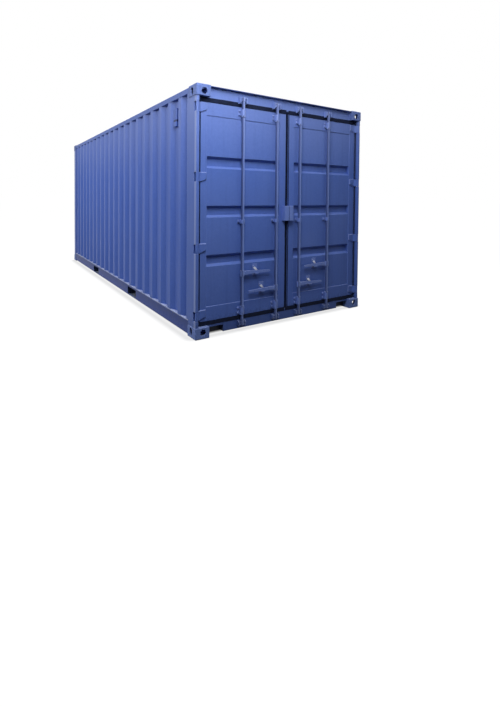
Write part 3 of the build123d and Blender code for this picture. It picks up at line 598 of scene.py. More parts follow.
@dataclass(frozen=True)
class Plywood(Finish):
    """Oiled hardwood floor panels, scuffed by pallets."""

    slot: Slot = Slot.WOOD
    pale: Colour = (0.36, 0.21, 0.115, 1)
    deep: Colour = (0.17, 0.085, 0.045, 1)
    scuffed: Colour = (0.40, 0.33, 0.26, 1)

    def surface(self, graph: Graph) -> dict[str, Value]:
        """Grains and scuffs the wood along the floor.

        Noise stretched twenty to one gives the fibres, and a wider one the growth bands.

        Args:
            graph: The material's graph.

        Returns:
            What goes into the shader.
        """
        fibre = graph.noise(1.0, 4.0, 0.6, (6.0, 120.0, 60.0))
        bands = graph.between(graph.noise(1.0, 3.0, 0.55, (0.8, 14.0, 8.0)), 0.4, 0.62)
        dark = graph.times(bands, graph.between(fibre, 0.3, 0.7, 0.5, 1.0))
        wood = graph.mix(dark, self.pale, self.deep)
        scuffs = graph.between(graph.noise(3.0, 4.0, 0.6, (0.6, 6.0, 1.0)), 0.52, 0.72, 0.0, 0.5)
        return {"Base Color": graph.mix(scuffs, wood, self.scuffed),
                "Roughness": graph.between(scuffs, 0.0, 0.5, 0.48, 0.72),
                "Normal": graph.bump(fibre, 0.0003)}


# ---- The finishes ----

# Near-black painted shade for the posts' flanks at the doors, and a pale blue painted highlight for their corners.
REVEAL_SHADE = (0.012, 0.014, 0.026, 1)
CORNER_HIGHLIGHT = (0.300, 0.365, 0.620, 1)
POST_REVEAL = ((Gauge.OFF_MIDDLE, 1.1782, 1.1772), (Gauge.SIDEWAYS, 0.7, 0.9))

# Painted shade darkens the whole low rail, and more from 0.06 m up to just under its top edge,
# in place of the shade under a flange; a painted highlight lightens the top edge.
LOW_RAIL_SHADE_AND_HIGHLIGHT = (
    Mark((0.54, 0.63, 0.90, 1), blend="MULTIPLY"),
    Mark((0.4444, 0.5397, 0.5889, 1), ((Gauge.Z, 0.06, 0.14),), blend="MULTIPLY"),
    Mark((0.390, 0.450, 0.690, 1), ((Gauge.Z, 0.156, 0.168),)),
)
# Painted shade darkens the flanks that look at the doors, the right one less far out, and a
# painted highlight lightens the posts' rounded outer corners.
POST_SHADE_AND_HIGHLIGHT = (
    Mark(REVEAL_SHADE, (*POST_REVEAL, (Gauge.Y, 0.0, -1.0), (Gauge.X, 3.020, 3.012)), 0.9),
    Mark(REVEAL_SHADE, (*POST_REVEAL, (Gauge.Y, 0.0, 1.0), (Gauge.X, 2.990, 2.982)), 0.9),
    Mark(CORNER_HIGHLIGHT, ((Gauge.OFF_MIDDLE, 1.196, 1.206), (Gauge.X, 2.972, 2.992), (Gauge.X, 3.022, 3.006)), 0.6),
)
# Painted shade darkens the boxed recesses at the sill's ends.
SILL_RECESS_SHADE = (
    Mark((0.008, 0.011, 0.024, 1), ((Gauge.X, 2.969, 2.958), (Gauge.OFF_MIDDLE, 0.853, 0.858))),
)
# Painted shade darkens a band about the top edge of a ventilator's hood.
VENT_HOOD_SHADE = (
    Mark((0.014, 0.022, 0.080, 1), ((Gauge.Z, 2.280, 2.286), (Gauge.Z, 2.310, 2.304)), 0.9),
)

SHEET = Paint("blue_paint_on_sheet", waves=0.006, skin=0.0001, chalk=0.24,
              paint=(0.070, 0.136, 0.475, 1), faded=(0.108, 0.180, 0.520, 1))
DOOR_SHEET = Paint("blue_paint_on_door_sheet", waves=0.004, wave_size=2.0, dust=0.08, wear_and_highlight=0.55, rounding=0.004)
SECTION = Paint("blue_paint_on_section", waves=0.001, wave_size=1.6, wear_and_highlight=0.6, rounding=0.004)
# A darker copy of the section paint without the paling towards the roof: painted shade on the top rails.
DARKENED_TOP_RAIL = replace(SECTION, name="darkened_paint_on_top_rail", chalk=0.0,
                   paint=(0.066, 0.122, 0.390, 1), faded=(0.100, 0.158, 0.420, 1))
LOW_RAIL = Paint("blue_paint_on_low_rail", waves=0.001, wave_size=1.6, dust=0.7, marks=LOW_RAIL_SHADE_AND_HIGHLIGHT)
DOOR_POST = replace(SECTION, name="blue_paint_on_door_post", wear_and_highlight=0.9, rounding=0.005, marks=POST_SHADE_AND_HIGHLIGHT)
SILL = replace(SECTION, name="blue_paint_on_sill", marks=SILL_RECESS_SHADE)
CASTING = Paint("blue_paint_on_casting", skin=0.0016, skin_size=110.0, wear_and_highlight=0.55, rounding=0.006, shine=0.52,
                dust=0.25, chalk=0.0, grime=0.06, paint=(0.098, 0.150, 0.380, 1), faded=(0.118, 0.172, 0.400, 1))
# A lighter copy of the casting paint without the low darkening: painted light on the low castings.
LIGHTENED_LOW_CASTING = replace(CASTING, name="lightened_paint_on_low_casting", grime=0.0,
                      paint=(0.130, 0.200, 0.500, 1), faded=(0.152, 0.224, 0.520, 1))
GEAR = Paint("blue_paint_on_door_gear", skin=0.0002, wear_and_highlight=0.9, shine=0.36, gloss=0.3,
             paint=(0.110, 0.180, 0.500, 1), faded=(0.160, 0.230, 0.540, 1))
WELD = replace(GEAR, name="blue_paint_on_weld", skin=0.0022, skin_size=210.0, wear_and_highlight=0.4, rounding=0.001,
               shine=0.40, gloss=0.25)
# Much lighter paint on the beads round the hinge blades: a painted highlight on their outlines.
LIGHTENED_HINGE_WELD = Paint("lightened_paint_on_hinge_weld", skin=0.0015, skin_size=210.0, wear_and_highlight=0.4, rounding=0.001,
                   paint=(0.230, 0.300, 0.620, 1), faded=(0.280, 0.350, 0.660, 1))
VENTILATOR = Paint("blue_paint_on_ventilator", skin=0.0002, rounding=0.002, chalk=0.0, dust=0.1, marks=VENT_HOOD_SHADE)
COATING = Paint("underside_coating", Slot.COAT, skin=0.001, skin_size=90.0, wear_and_highlight=0.3, shine=0.74, chalk=0.0,
                paint=(0.030, 0.036, 0.055, 1), faded=(0.055, 0.060, 0.075, 1), worn_and_highlit=(0.085, 0.085, 0.09, 1))
POCKET_COATING = replace(COATING, name="fork_pocket_coating",
                         paint=(0.024, 0.040, 0.100, 1), faded=(0.045, 0.060, 0.130, 1))
# Black door gasket, matt and a little dusty, and zinc-plated steel that hands and weather have dulled.
RUBBER = Spotted("gasket_rubber", Slot.RUBBER, spots=(14.0, 4.0), starts=(0.4, 0.7),
                 colours=((0.007, 0.010, 0.026, 1), (0.012, 0.018, 0.046, 1)),
                 rough=(0.62, 0.82), grit=(420.0, 0.0002), gloss=0.05)
STEEL = Spotted("zinc_steel", Slot.STEEL, spots=(160.0, 3.0), starts=(0.4, 0.66),
                colours=((0.62, 0.65, 0.72, 1), (0.34, 0.36, 0.42, 1)),
                rough=(0.34, 0.58), grit=(520.0, 0.0001), metal=(1.0, 0.75), rounding=0.001)
PLYWOOD = Plywood("floor_plywood")


def rod_paint(side: Side, place: str, across: float) -> Paint:
    """Paints shade on the left flank of a locking rod, and paints the rod a lighter blue as a painted highlight.

    Args:
        side: The side of its door.
        place: The rod's place on the door.
        across: The distance of its own axis from the middle plane.

    Returns:
        The rod's finish.
    """
    axis = side * across
    shade = Mark((0.026, 0.045, 0.150, 1),
                 ((Gauge.Y, axis - 0.003, axis - 0.009), (Gauge.Y, axis - 0.0185, axis - 0.0175)), 0.85)
    return replace(GEAR, name=f"blue_paint_on_{side.named(place)}_rod", marks=(shade,),
                   paint=(0.145, 0.220, 0.550, 1), faded=(0.195, 0.270, 0.590, 1))


RODS = {"inner": 0.175, "outer": 0.640}

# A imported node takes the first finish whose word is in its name, or else that of a section.
NODE_FINISHES = {
    "cross_members": COATING, "fork_pockets": POCKET_COATING, "door_seal": RUBBER, "catch": STEEL,
    "bottom_fitting": LIGHTENED_LOW_CASTING, "fitting": CASTING, "door_panel": DOOR_SHEET, "side_panel": SHEET,
    "front_panel": SHEET, "roof_panel": SHEET, "floor": PLYWOOD, "rear_post": DOOR_POST,
    "bottom_side_rail": LOW_RAIL, "top_side_rail": DARKENED_TOP_RAIL, "door_sill": SILL,
    **{f"{side.named(place)}_rod": rod_paint(side, place, across)
       for side in Side for place, across in RODS.items()},
    "rod": GEAR, "handle": GEAR, "keepers": GEAR, "lock_box": GEAR, "ventilators": VENTILATOR,
}


def node_finish(name: str) -> Finish:
    """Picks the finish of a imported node.

    Args:
        name: The node's name.

    Returns:
        Its finish.
    """
    return next((finish for word, finish in NODE_FINISHES.items() if word in name), SECTION)


# ---- Shapes ----


class Seam(Enum):
    """Weld beads: the radius, and the distance between two rings."""

    WALL_RAIL = (0.0028, 0.05)
    WALL_POST = (0.0030, 0.04)
    WALL_SHEET = (0.0022, 0.04)
    ROOF_RAIL = (0.0022, 0.06)
    ROOF_SHEET = (0.0020, 0.05)
    CASTING = (0.0032, 0.02)
    RAIL_END = (0.0030, 0.02)
    RAIN_LIP = (0.0024, 0.03)
    DOOR_SHEET = (0.0026, 0.04)
    DOOR_FRAME = (0.0020, 0.02)
    HINGE = (0.0044, 0.012)


def stepped(path: np.ndarray, step: float) -> np.ndarray:
    """Adds points to a path so that no two are far apart, and keeps its corners.

    Every run gets points at equal parts of its length, as many as its length over the step.

    Args:
        path: Corners, shaped (n, 3).
        step: The longest distance wanted.

    Returns:
        Points, shaped (m, 3).
    """
    parts = [max(1, math.ceil(math.dist(start, end) / step)) for start, end in zip(path, path[1:])]
    runs = [np.linspace(start, end, many, endpoint=False) for start, end, many in zip(path, path[1:], parts)]
    return np.vstack([*runs, path[-1:]])


def carried(profile: np.ndarray, path: np.ndarray, up: Point, size: np.ndarray) -> np.ndarray:
    """Carries a closed profile along a flat path and closes both ends.

    Point (i, j) is path[i] + size[i] (a[j] across[i] + b[j] up). Across is square to up and to the
    path, and at a corner it is the sum of the two runs' vectors over one plus their product, which
    is the mitre. A path that ends where it starts is mitred there too. Two more rows of size 0 at
    the ends shut the tube.

    Args:
        profile: Points (a, b), shaped (n, 2).
        path: Points, shaped (m, 3).
        up: The direction that is square to the whole path.
        size: A factor for each point of the path.

    Returns:
        A grid, shaped (m + 2, n, 3).
    """
    upward = np.array(up, float)
    run = np.diff(path, axis=0)
    across = np.cross(run / np.linalg.norm(run, axis=1)[:, None], upward)
    ring = np.allclose(path[0], path[-1])
    before = np.vstack([across[-1:] if ring else across[:1], across])
    after = np.vstack([across, across[:1] if ring else across[-1:]])
    mitre = (before + after) / (1 + (before * after).sum(1))[:, None]
    section = profile[:, 0, None] * mitre[:, None] + profile[:, 1, None] * upward
    body = path[:, None] + size[:, None, None] * section
    first, last = (np.broadcast_to(end, body[:1].shape) for end in (path[0], path[-1]))
    return np.concatenate([first, body, last])


@dataclass
class Shape:
    """Grids of points that are gathered into one mesh."""

    points: list[np.ndarray] = field(default_factory=list)
    faces: list[np.ndarray] = field(default_factory=list)
    count: int = 0

    def add(self, grid: np.ndarray) -> None:
        """Adds one grid, or many equal ones.

        The face at row i and column j joins points (i, j), (i, j+1), (i+1, j+1) and (i+1, j),
        and the last column meets the first.

        Args:
            grid: Points, shaped (..., rows, columns, 3).
        """
        grid = grid.reshape(-1, *grid.shape[-3:])
        many, rows, columns, _ = grid.shape
        row, column = np.meshgrid(np.arange(rows - 1), np.arange(columns), indexing="ij")
        after = (column + 1) % columns
        quads = np.stack([row * columns + column, row * columns + after,
                          (row + 1) * columns + after, (row + 1) * columns + column], -1).reshape(-1, 4)
        offset = self.count + np.arange(many) * rows * columns
        self.faces.append((quads[None] + offset[:, None, None]).reshape(-1, 4))
        self.points.append(grid.reshape(-1, 3))
        self.count += many * rows * columns

    def weld(self, path: list[Point] | np.ndarray, up: Point, seam: Seam, closed: bool = False) -> None:
        """Lays a weld bead along a path.

        An eight-sided tube whose radius swells and shrinks by a tenth: 1 + 0.07 sin 2.4 i +
        0.04 sin 0.9 i at the i-th ring. The first ring is as wide as the last.

        Args:
            path: The line in the root of the joint.
            up: The direction that is square to the whole path.
            seam: The kind of bead.
            closed: Whether it runs back to its start.
        """
        radius, step = seam.value
        turn = np.arange(8) / 8 * 2 * np.pi
        profile = radius * np.stack([np.cos(turn), np.sin(turn)], 1)
        line = stepped(np.array([*path, path[0]] if closed else path, float), step)
        number = np.arange(len(line))
        size = 1 + 0.07 * np.sin(2.4 * number) + 0.04 * np.sin(0.9 * number)
        size[0] = size[-1]
        self.add(carried(profile, line, up, size))

    def turn(self, profile: list[Pair], places: list[Point], facing: Facing, sides: int, flats: int = 0) -> None:
        """Turns a profile about its own axis at many places.

        Point (i, j) stands at radius r[i] and height h[i] at angle t[j]. In the first rows named by
        flats the radius is divided by cos(((t + 30) mod 60) - 30), in degrees, which makes a hexagon
        whose half width across its flats is r.

        Args:
            profile: Radii and heights from one pole to the other.
            places: Where the shapes stand.
            facing: The axis that they stand along.
            sides: Points round.
            flats: How many rows are six-sided.
        """
        across, along, out = np.array(facing.value, float)
        angle = np.arange(sides) / sides * 2 * np.pi
        half = np.pi / 6
        hexagon = 1 / np.cos(np.mod(angle + half, 2 * half) - half)
        radius, height = np.array(profile, float).T
        reach = radius[:, None] * np.where(np.arange(len(radius))[:, None] < flats, hexagon, 1.0)
        ring = (reach * np.cos(angle))[..., None] * across + (reach * np.sin(angle))[..., None] * along
        self.add(np.array(places, float)[:, None, None] + ring + height[:, None, None] * out)

    def slab(self, places: list[Point], half: Pair, corner: float, rows: list[Pair], facing: Facing) -> None:
        """Adds flat plates with rounded corners at many places.

        The outline at inset d is four quarter circles of radius (corner - d) about the corners of a
        rectangle that is smaller by the corner radius. Each row draws it in by its inset and lifts it
        by its height, and an endless inset puts the whole row at the middle.

        Args:
            places: The middles.
            half: Half the length and half the width.
            corner: The corner radius.
            rows: Insets and heights, from one pole to the other.
            facing: The axes of length, width and height.
        """
        across, along, out = np.array(facing.value, float)
        angle = np.radians(np.arange(4)[:, None] * 90 + np.linspace(0, 90, 6)).ravel()
        sign = np.array([(1, 1), (-1, 1), (-1, -1), (1, -1)], float).repeat(6, 0)
        inset, height = np.array(rows, float).T
        kept = np.isfinite(inset)
        radius = np.where(kept, corner - np.where(kept, inset, 0), 0)[:, None]
        core = sign * (np.array(half) - corner)
        u = kept[:, None] * core[:, 0] + radius * np.cos(angle)
        v = kept[:, None] * core[:, 1] + radius * np.sin(angle)
        plate = u[..., None] * across + v[..., None] * along + height[:, None, None] * out
        self.add(np.array(places, float)[:, None, None] + plate)

    def piece(self, name: str, finish: Finish, body: str = "root", crease: float = 35.0) -> bpy.types.Object:
        """Makes the object, closes its poles and turns its faces outwards.

        Args:
            name: The piece's name.
            finish: Its finish.
            body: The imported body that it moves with.
            crease: The angle in degrees past which an edge stays sharp.

        Returns:
            The new object.
        """
        mesh = bpy.data.meshes.new(name)
        mesh.from_pydata(np.concatenate(self.points).tolist(), [], np.concatenate(self.faces).tolist())
        mesh.validate()
        work = bmesh.new()
        work.from_mesh(mesh)
        bmesh.ops.remove_doubles(work, verts=work.verts, dist=2e-6)
        bmesh.ops.dissolve_degenerate(work, edges=work.edges, dist=1e-6)
        bmesh.ops.recalc_face_normals(work, faces=work.faces)
        work.to_mesh(mesh)
        work.free()
        mesh.shade_smooth()
        mesh.set_sharp_from_angle(angle=math.radians(crease))
        mesh.materials.append(finish.material())
        made = placed(name, mesh)
        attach(made, body)
        log.info("%s: %d faces on %s", name, len(mesh.polygons), body)
        return made


@dataclass(frozen=True)
class Folds:
    """The folds of a sheet: where the first one starts, and the sizes of each."""

    first: float
    count: int
    slope: float
    crest: float
    recess: float

    @property
    def pitch(self) -> float:
        """The distance from one fold to the next."""
        return 2 * self.slope + self.crest + self.recess

    def corners(self) -> tuple[np.ndarray, np.ndarray]:
        """Finds the corners: fold k starts at first + k pitch and has foot, two shoulders and foot.

        Returns:
            The corners' positions, and 1 where the corner stands out and 0 where it doesn't.
        """
        feet = self.first + self.pitch * np.arange(self.count)
        rises = np.cumsum([0, self.slope, self.crest, self.slope])
        return (feet[:, None] + rises).ravel(), np.tile([0.0, 1.0, 1.0, 0.0], self.count)


def spans(start: float, end: float, gaps: list[Pair]) -> list[Pair]:
    """Splits a stretch at its gaps.

    Args:
        start: Where the stretch starts.
        end: Where it ends.
        gaps: The start and the end of each gap, in order.

    Returns:
        The start and the end of each part that is left.
    """
    stops = [start, *(stop for gap in gaps for stop in gap), end]
    return list(zip(stops[::2], stops[1::2]))


# ---- The container ----

WALL_LOW = 0.172
WALL_HIGH = 2.520
POST_INNER = 2.851
VENTILATORS = {Side.LEFT: 2.4840, Side.RIGHT: -2.5200}


@dataclass
class SideWall:
    """A long folded wall with the welds that hold it in its rails and posts."""

    side: Side
    face: float = 1.212
    depth: float = 0.036
    front: float = -POST_INNER
    rear: float = 2.815
    folds: Folds = Folds(first=-2.763, count=20, slope=0.068, crest=0.072, recess=0.070)
    end_slope: float = 0.022
    post_sink: float = 0.0005
    sheet_sink: float = 0.0008
    sheet_every: int = 4

    def outline(self, height: float) -> np.ndarray:
        """The wall's line seen from above: end flange, folds, end flange.

        Args:
            height: Where it is wanted.

        Returns:
            Points, shaped (n, 3).
        """
        x, out = self.folds.corners()
        x = np.array([self.front, self.front + self.end_slope, *x, self.rear - self.end_slope, self.rear])
        out = np.array([1, 0, *out, 0, 1])
        return np.column_stack([x, self.side * (self.face - self.depth * (1 - out)), np.full(len(x), height)])

    def build(self) -> None:
        """Lays the beads along rails and posts, and the upright seams between the sheets."""
        shape = Shape()
        for height in (WALL_LOW, WALL_HIGH):
            shape.weld(self.outline(height), Z_AXIS, Seam.WALL_RAIL)
        crests = self.folds.first + self.folds.slope + self.folds.crest / 2
        seams = crests + self.folds.pitch * np.arange(self.sheet_every - 1, self.folds.count, self.sheet_every)
        for places, sink, seam in (((self.front, self.rear), self.post_sink, Seam.WALL_POST),
                                   (seams, self.sheet_sink, Seam.WALL_SHEET)):
            y = self.side * (self.face - sink)
            for x in places:
                shape.weld([(x, y, WALL_LOW), (x, y, WALL_HIGH)], Y_AXIS, seam)
        shape.piece(self.side.named("wall_welds"), WELD)


@dataclass
class Ventilator:
    """The small hooded air box in a wall: its louvres and rivets."""

    side: Side
    middle: float
    face: float = 1.202
    low: float = 2.232
    high: float = 2.430
    hood: float = 0.060
    louvres: int = 5
    louvre_half: Pair = (0.027, 0.0045)
    louvre_ends: Pair = (0.022, 0.026)
    rivet_reach: float = 0.035
    rivet_ends: Pair = (0.008, 0.010)

    def build(self) -> None:
        """Puts louvre lips above the hood and a rivet in each corner."""
        facing = Facing.LEFT_WALL if self.side is Side.LEFT else Facing.RIGHT_WALL
        y, brow = self.side * self.face, self.low + self.hood
        shape = Shape()
        lip = [(math.inf, -0.001), (0, -0.001), (0, 0.0012), (0.0012, 0.0026), (math.inf, 0.0028)]
        above, below = self.louvre_ends
        lips = [(self.middle, y, z) for z in np.linspace(brow + above, self.high - below, self.louvres)]
        shape.slab(lips, self.louvre_half, corner=0.0044, rows=lip, facing=facing)
        dome = [(0, -0.001), (0.0042, -0.001), (0.0042, 0.0008), (0.003, 0.0021), (0, 0.0026)]
        above, below = self.rivet_ends
        spots = [(self.middle + dx, y, z) for dx in (-self.rivet_reach, self.rivet_reach)
                 for z in (brow + above, self.high - below)]
        shape.turn(dome, spots, facing, sides=14)
        shape.piece(self.side.named("ventilator_louvres"), VENTILATOR)


@dataclass
class Ends:
    """The front wall, the roof and the corners: welds that the walls don't own.

    The posts' outlines are places (x, y), seen from above; those of the side rail's end are
    places (y, z), and those of the front rail's end and of the header places (x, z).
    """

    skin: float = 1.214
    outer: float = 3.024
    inside_y: float = 1.057
    foot: Pair = (0.020, 0.118)
    under: float = 2.473
    wall_folds: Folds = Folds(first=-0.948, count=8, slope=0.018, crest=0.110, recess=0.104)
    wall_crest: float = 3.022
    wall_depth: float = 0.0456
    wall_edge: float = 2.976
    roof_edge: Pair = (1.1845, 2.5805)
    roof_seam: Pair = (1.182, 2.5815)
    trough: float = -2.8215
    trough_pitch: float = 0.209
    sheet_seams: range = range(5, 26, 5)
    rear_post: tuple[Pair, ...] = ((2.851, 1.214), (3.010, 1.214), (3.022, 1.202), (3.022, 1.177), (2.966, 1.177))
    front_post: tuple[Pair, ...] = ((-2.851, 1.214), (-3.024, 1.214), (-3.024, 1.057))
    side_rail: tuple[Pair, ...] = ((1.214, 2.520), (1.214, 2.580), (1.154, 2.580), (1.154, 2.520))
    front_rail: tuple[Pair, ...] = ((-3.024, 2.520), (-3.024, 2.580), (-2.964, 2.580), (-2.964, 2.520))
    header: tuple[Pair, ...] = ((2.972, 2.473), (2.972, 2.585), (2.876, 2.585))
    lip_middle: Point = (2.9925, 0.0, 2.5808)
    lip_half: Pair = (0.0215, 1.056)
    lip_seam: Point = (2.9726, 1.05, 2.5802)

    def front(self) -> None:
        """Lays the front wall's beads along its rails and down its sides."""
        shape = Shape()
        y, out = self.wall_folds.corners()
        y = np.array([-self.inside_y, *y, self.inside_y])
        x = self.wall_depth * (1 - np.array([0, *out, 0])) - self.wall_crest
        for height in (WALL_LOW, WALL_HIGH):
            shape.weld(np.column_stack([x, y, np.full(len(x), height)]), Z_AXIS, Seam.WALL_RAIL)
        for side in Side:
            x, edge = -self.wall_edge, side * self.inside_y
            shape.weld([(x, edge, WALL_LOW), (x, edge, WALL_HIGH)], X_AXIS, Seam.WALL_POST)
        shape.piece("front_wall_welds", WELD)

    def roof(self) -> None:
        """Lays the roof's edge beads and the seams between its sheets, five troughs apart."""
        shape = Shape()
        y, z = self.roof_edge
        for side in Side:
            shape.weld([(-POST_INNER, side * y, z), (POST_INNER, side * y, z)], Z_AXIS, Seam.ROOF_RAIL)
        y, z = self.roof_seam
        for number in self.sheet_seams:
            x = self.trough + self.trough_pitch * number
            shape.weld([(x, -y, z), (x, y, z)], Z_AXIS, Seam.ROOF_SHEET)
        shape.piece("roof_welds", WELD)

    def corners(self) -> None:
        """Lays the beads that join posts, rails and header to the corner castings."""
        shape = Shape()
        for side in Side:
            for height in (self.foot[1], self.under):
                for outline in (self.rear_post, self.front_post):
                    shape.weld([(x, side * y, height) for x, y in outline], Z_AXIS, Seam.CASTING)
            for x in (-POST_INNER, POST_INNER):
                shape.weld([(x, side * y, z) for y, z in self.side_rail], X_AXIS, Seam.RAIL_END, closed=True)
                shape.weld([(x, side * self.skin, z) for z in self.foot], X_AXIS, Seam.RAIL_END)
            inner = side * self.inside_y
            shape.weld([(x, inner, z) for x, z in self.front_rail], Y_AXIS, Seam.RAIL_END, closed=True)
            shape.weld([(-self.outer, inner, z) for z in self.foot], Y_AXIS, Seam.RAIL_END)
            shape.weld([(x, inner, z) for x, z in self.header], Y_AXIS, Seam.RAIL_END)
        shape.piece("corner_welds", WELD)

    def lip(self) -> None:
        """Lets a thin rain lip stand out from the header's top, over the rods, with its bead."""
        shape, seam = Shape(), Shape()
        rows = [(math.inf, 0), (0.0008, 0), (0, 0.0008), (0, 0.0032), (0.0008, 0.004), (math.inf, 0.004)]
        shape.slab([self.lip_middle], self.lip_half, corner=0.002, rows=rows, facing=Facing.UP)
        x, reach, z = self.lip_seam
        seam.weld([(x, -reach, z), (x, reach, z)], Z_AXIS, Seam.RAIN_LIP)
        shape.piece("header_rain_lip", SECTION)
        seam.piece("header_lip_weld", WELD)

    def build(self) -> None:
        """Builds the three sets of welds and the lip over the doors."""
        self.front()
        self.roof()
        self.corners()
        self.lip()


@dataclass
class Door:
    """What is fixed to one door leaf: bolts, welds, gasket strips and their rivets."""

    side: Side
    face: float = 2.972
    back: float = 2.922
    seam_x: Pair = (2.9663, 2.9708)
    edge: float = 1.160
    free: float = 0.017
    low: float = 0.160
    high: float = 2.427
    low_bar: float = 0.310
    top_bar: float = 2.290
    stile: float = 0.092
    plate: float = 0.006
    bolt_reach: float = 0.036
    bolt_heights: tuple[float, ...] = (0.194, 0.243, 1.189, 2.341, 2.379)
    hinges: tuple[float, ...] = (0.235, 0.923, 1.655, 2.364)
    blade: tuple[Pair, ...] = ((1.148, 0.0465), (1.0765, 0.0465), (1.0765, -0.0205), (1.148, -0.0465))
    strip_middle: float = 0.030
    strip_half: float = 0.014
    strip_ends: Pair = (0.016, 0.047)
    rivet_ends: Pair = (0.07, 0.1)
    rivets: tuple[int, int] = (15, 7)
    margin: float = 0.002
    lap: float = 0.004
    overlap: float = 0.003
    lip_out: float = 0.0005
    lip_step: float = 0.00005
    header: float = 2.455
    header_lap: float = 0.0015
    header_overlap: float = 2.472
    sill: float = 0.1195
    keeper_half: float = 0.0485
    hinge_room: float = 0.052
    cover: Pair = (1.185, 1.355)

    @property
    def body(self) -> str:
        """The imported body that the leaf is."""
        return self.side.named("door")

    def bolts(self) -> None:
        """Bolts the rod guides down: a washer and a six-sided head with a shallow chamfer."""
        spots = [(self.face + self.plate, self.side * (rod + dy), z) for rod in RODS.values()
                 for dy in (-self.bolt_reach, self.bolt_reach) for z in self.bolt_heights]
        head = [(0, 0.0093), (0.0078, 0.0093), (0.0095, 0.0080), (0.0095, 0.0016), (0.0070, 0.0016)]
        washer = [(0.0070, 0.0016), (0.0120, 0.0016), (0.0125, 0.0010), (0.0125, -0.001), (0, -0.001)]
        shape = Shape()
        shape.turn(head + washer, spots, Facing.DOORS, sides=24, flats=4)
        shape.piece(self.side.named("guide_bolts"), GEAR, self.body, crease=30.0)

    def welds(self) -> None:
        """Lays the bead round the sheet and the four joints of the frame."""
        shape = Shape()
        near, far = self.side * (self.free + self.stile), self.side * (self.edge - self.stile)
        x, frame_x = self.seam_x
        ring = [(x, near, self.low_bar), (x, far, self.low_bar), (x, far, self.top_bar), (x, near, self.top_bar)]
        shape.weld(ring, X_AXIS, Seam.DOOR_SHEET, closed=True)
        for y in (near, far):
            for low, high in ((self.low + self.margin, self.low_bar), (self.top_bar, self.high - self.margin)):
                shape.weld([(frame_x, y, low), (frame_x, y, high)], X_AXIS, Seam.DOOR_FRAME)
        shape.piece(self.side.named("door_welds"), WELD, self.body)

    def hinge_welds(self) -> None:
        """Lays a bead round each hinge blade, which tapers at its lower edge."""
        shape = Shape()
        for height in self.hinges:
            shape.weld([(self.face, self.side * y, height + dz) for y, dz in self.blade], X_AXIS, Seam.HINGE)
        shape.piece(self.side.named("hinge_welds"), LIGHTENED_HINGE_WELD, self.body)

    def strips(self) -> None:
        """Holds the gasket on the leaf's inner face: four flat strips with a row of rivets."""
        shape, rivets = Shape(), Shape()
        rows = [(math.inf, -0.001), (0, -0.001), (0, 0.0014), (0.0008, 0.002), (math.inf, 0.002)]
        y = [self.side * width for width in (self.free + self.strip_middle, self.edge - self.strip_middle)]
        z = [self.low + self.strip_middle, self.high - self.strip_middle]
        middle = (self.side * (self.edge + self.free) / 2, (self.low + self.high) / 2)
        tall = (self.high - self.low) / 2 - self.strip_ends[0]
        wide = (self.edge - self.free) / 2 - self.strip_ends[1]
        uprights = [(self.back, one, middle[1]) for one in y]
        levels = [(self.back, middle[0], one) for one in z]
        shape.slab(uprights, (self.strip_half, tall), corner=0.003, rows=rows, facing=Facing.HOLD)
        shape.slab(levels, (wide, self.strip_half), corner=0.003, rows=rows, facing=Facing.HOLD)
        above, beside = self.rivet_ends
        heights = np.linspace(self.low + above, self.high - above, self.rivets[0])
        widths = self.side * np.linspace(self.free + beside, self.edge - beside, self.rivets[1])
        spots = [(self.back, one, height) for one in y for height in heights]
        spots += [(self.back, width, one) for one in z for width in widths]
        dome = [(0, 0.0015), (0.0055, 0.0015), (0.0055, 0.0026), (0.0038, 0.0042), (0, 0.0048)]
        rivets.turn(dome, spots, Facing.HOLD, sides=12)
        shape.piece(self.side.named("seal_strips"), STEEL, self.body)
        rivets.piece(self.side.named("seal_rivets"), STEEL, self.body)

    def lips(self) -> None:
        """Lays the gasket's outer lip over the gap: sill, header, hinge side and free edge.

        Above the gap it reaches up between the keepers, and beside it it stops short of every hinge
        and of the padlock cover. The right leaf opens first and has the wider lip at its free edge.
        Each pad lies a twentieth of a millimetre further out than the last, so that no two faces
        share a plane.
        """
        shape = Shape()
        rows = [(math.inf, 0), (0, 0), (0, 0.0016), (0.0012, 0.0026), (math.inf, 0.0026)]
        inner, outer = self.free, self.edge - self.margin
        foot, top = self.low + self.lap, self.high - self.lap
        start, wide, skirt = (-0.008, 0.012, 0.003) if self.side is Side.RIGHT else (inner, 0.004, 0.015)
        keepers = [(rod - self.keeper_half, rod + self.keeper_half) for rod in RODS.values()]
        cover = (self.cover[0] - self.margin, self.cover[1] + self.margin)
        hinges = [(z - self.hinge_room, z + self.hinge_room) for z in self.hinges]
        pads = [
            (start, outer, self.sill, self.low + self.overlap),
            (inner, outer, self.high - self.overlap, self.header + self.header_lap),
            *((near, far, self.header - self.lap, self.header_overlap) for near, far in spans(inner, outer, keepers)),
            *((inner, inner + wide, low, high) for low, high in spans(foot, top, [cover])),
            *((outer - skirt, outer, low, high) for low, high in spans(foot, top, hinges)),
        ]
        for number, (near, far, low, high) in enumerate(pads):
            x = self.face + self.lip_out + self.lip_step * number
            place = (x, self.side * (near + far) / 2, (low + high) / 2)
            half = ((far - near) / 2, (high - low) / 2)
            shape.slab([place], half, corner=0.0014, rows=rows, facing=Facing.DOORS)
        shape.piece(self.side.named("gasket_lips"), RUBBER, self.body)

    def build(self) -> None:
        """Builds everything on the leaf."""
        self.bolts()
        self.welds()
        self.hinge_welds()
        self.strips()
        self.lips()


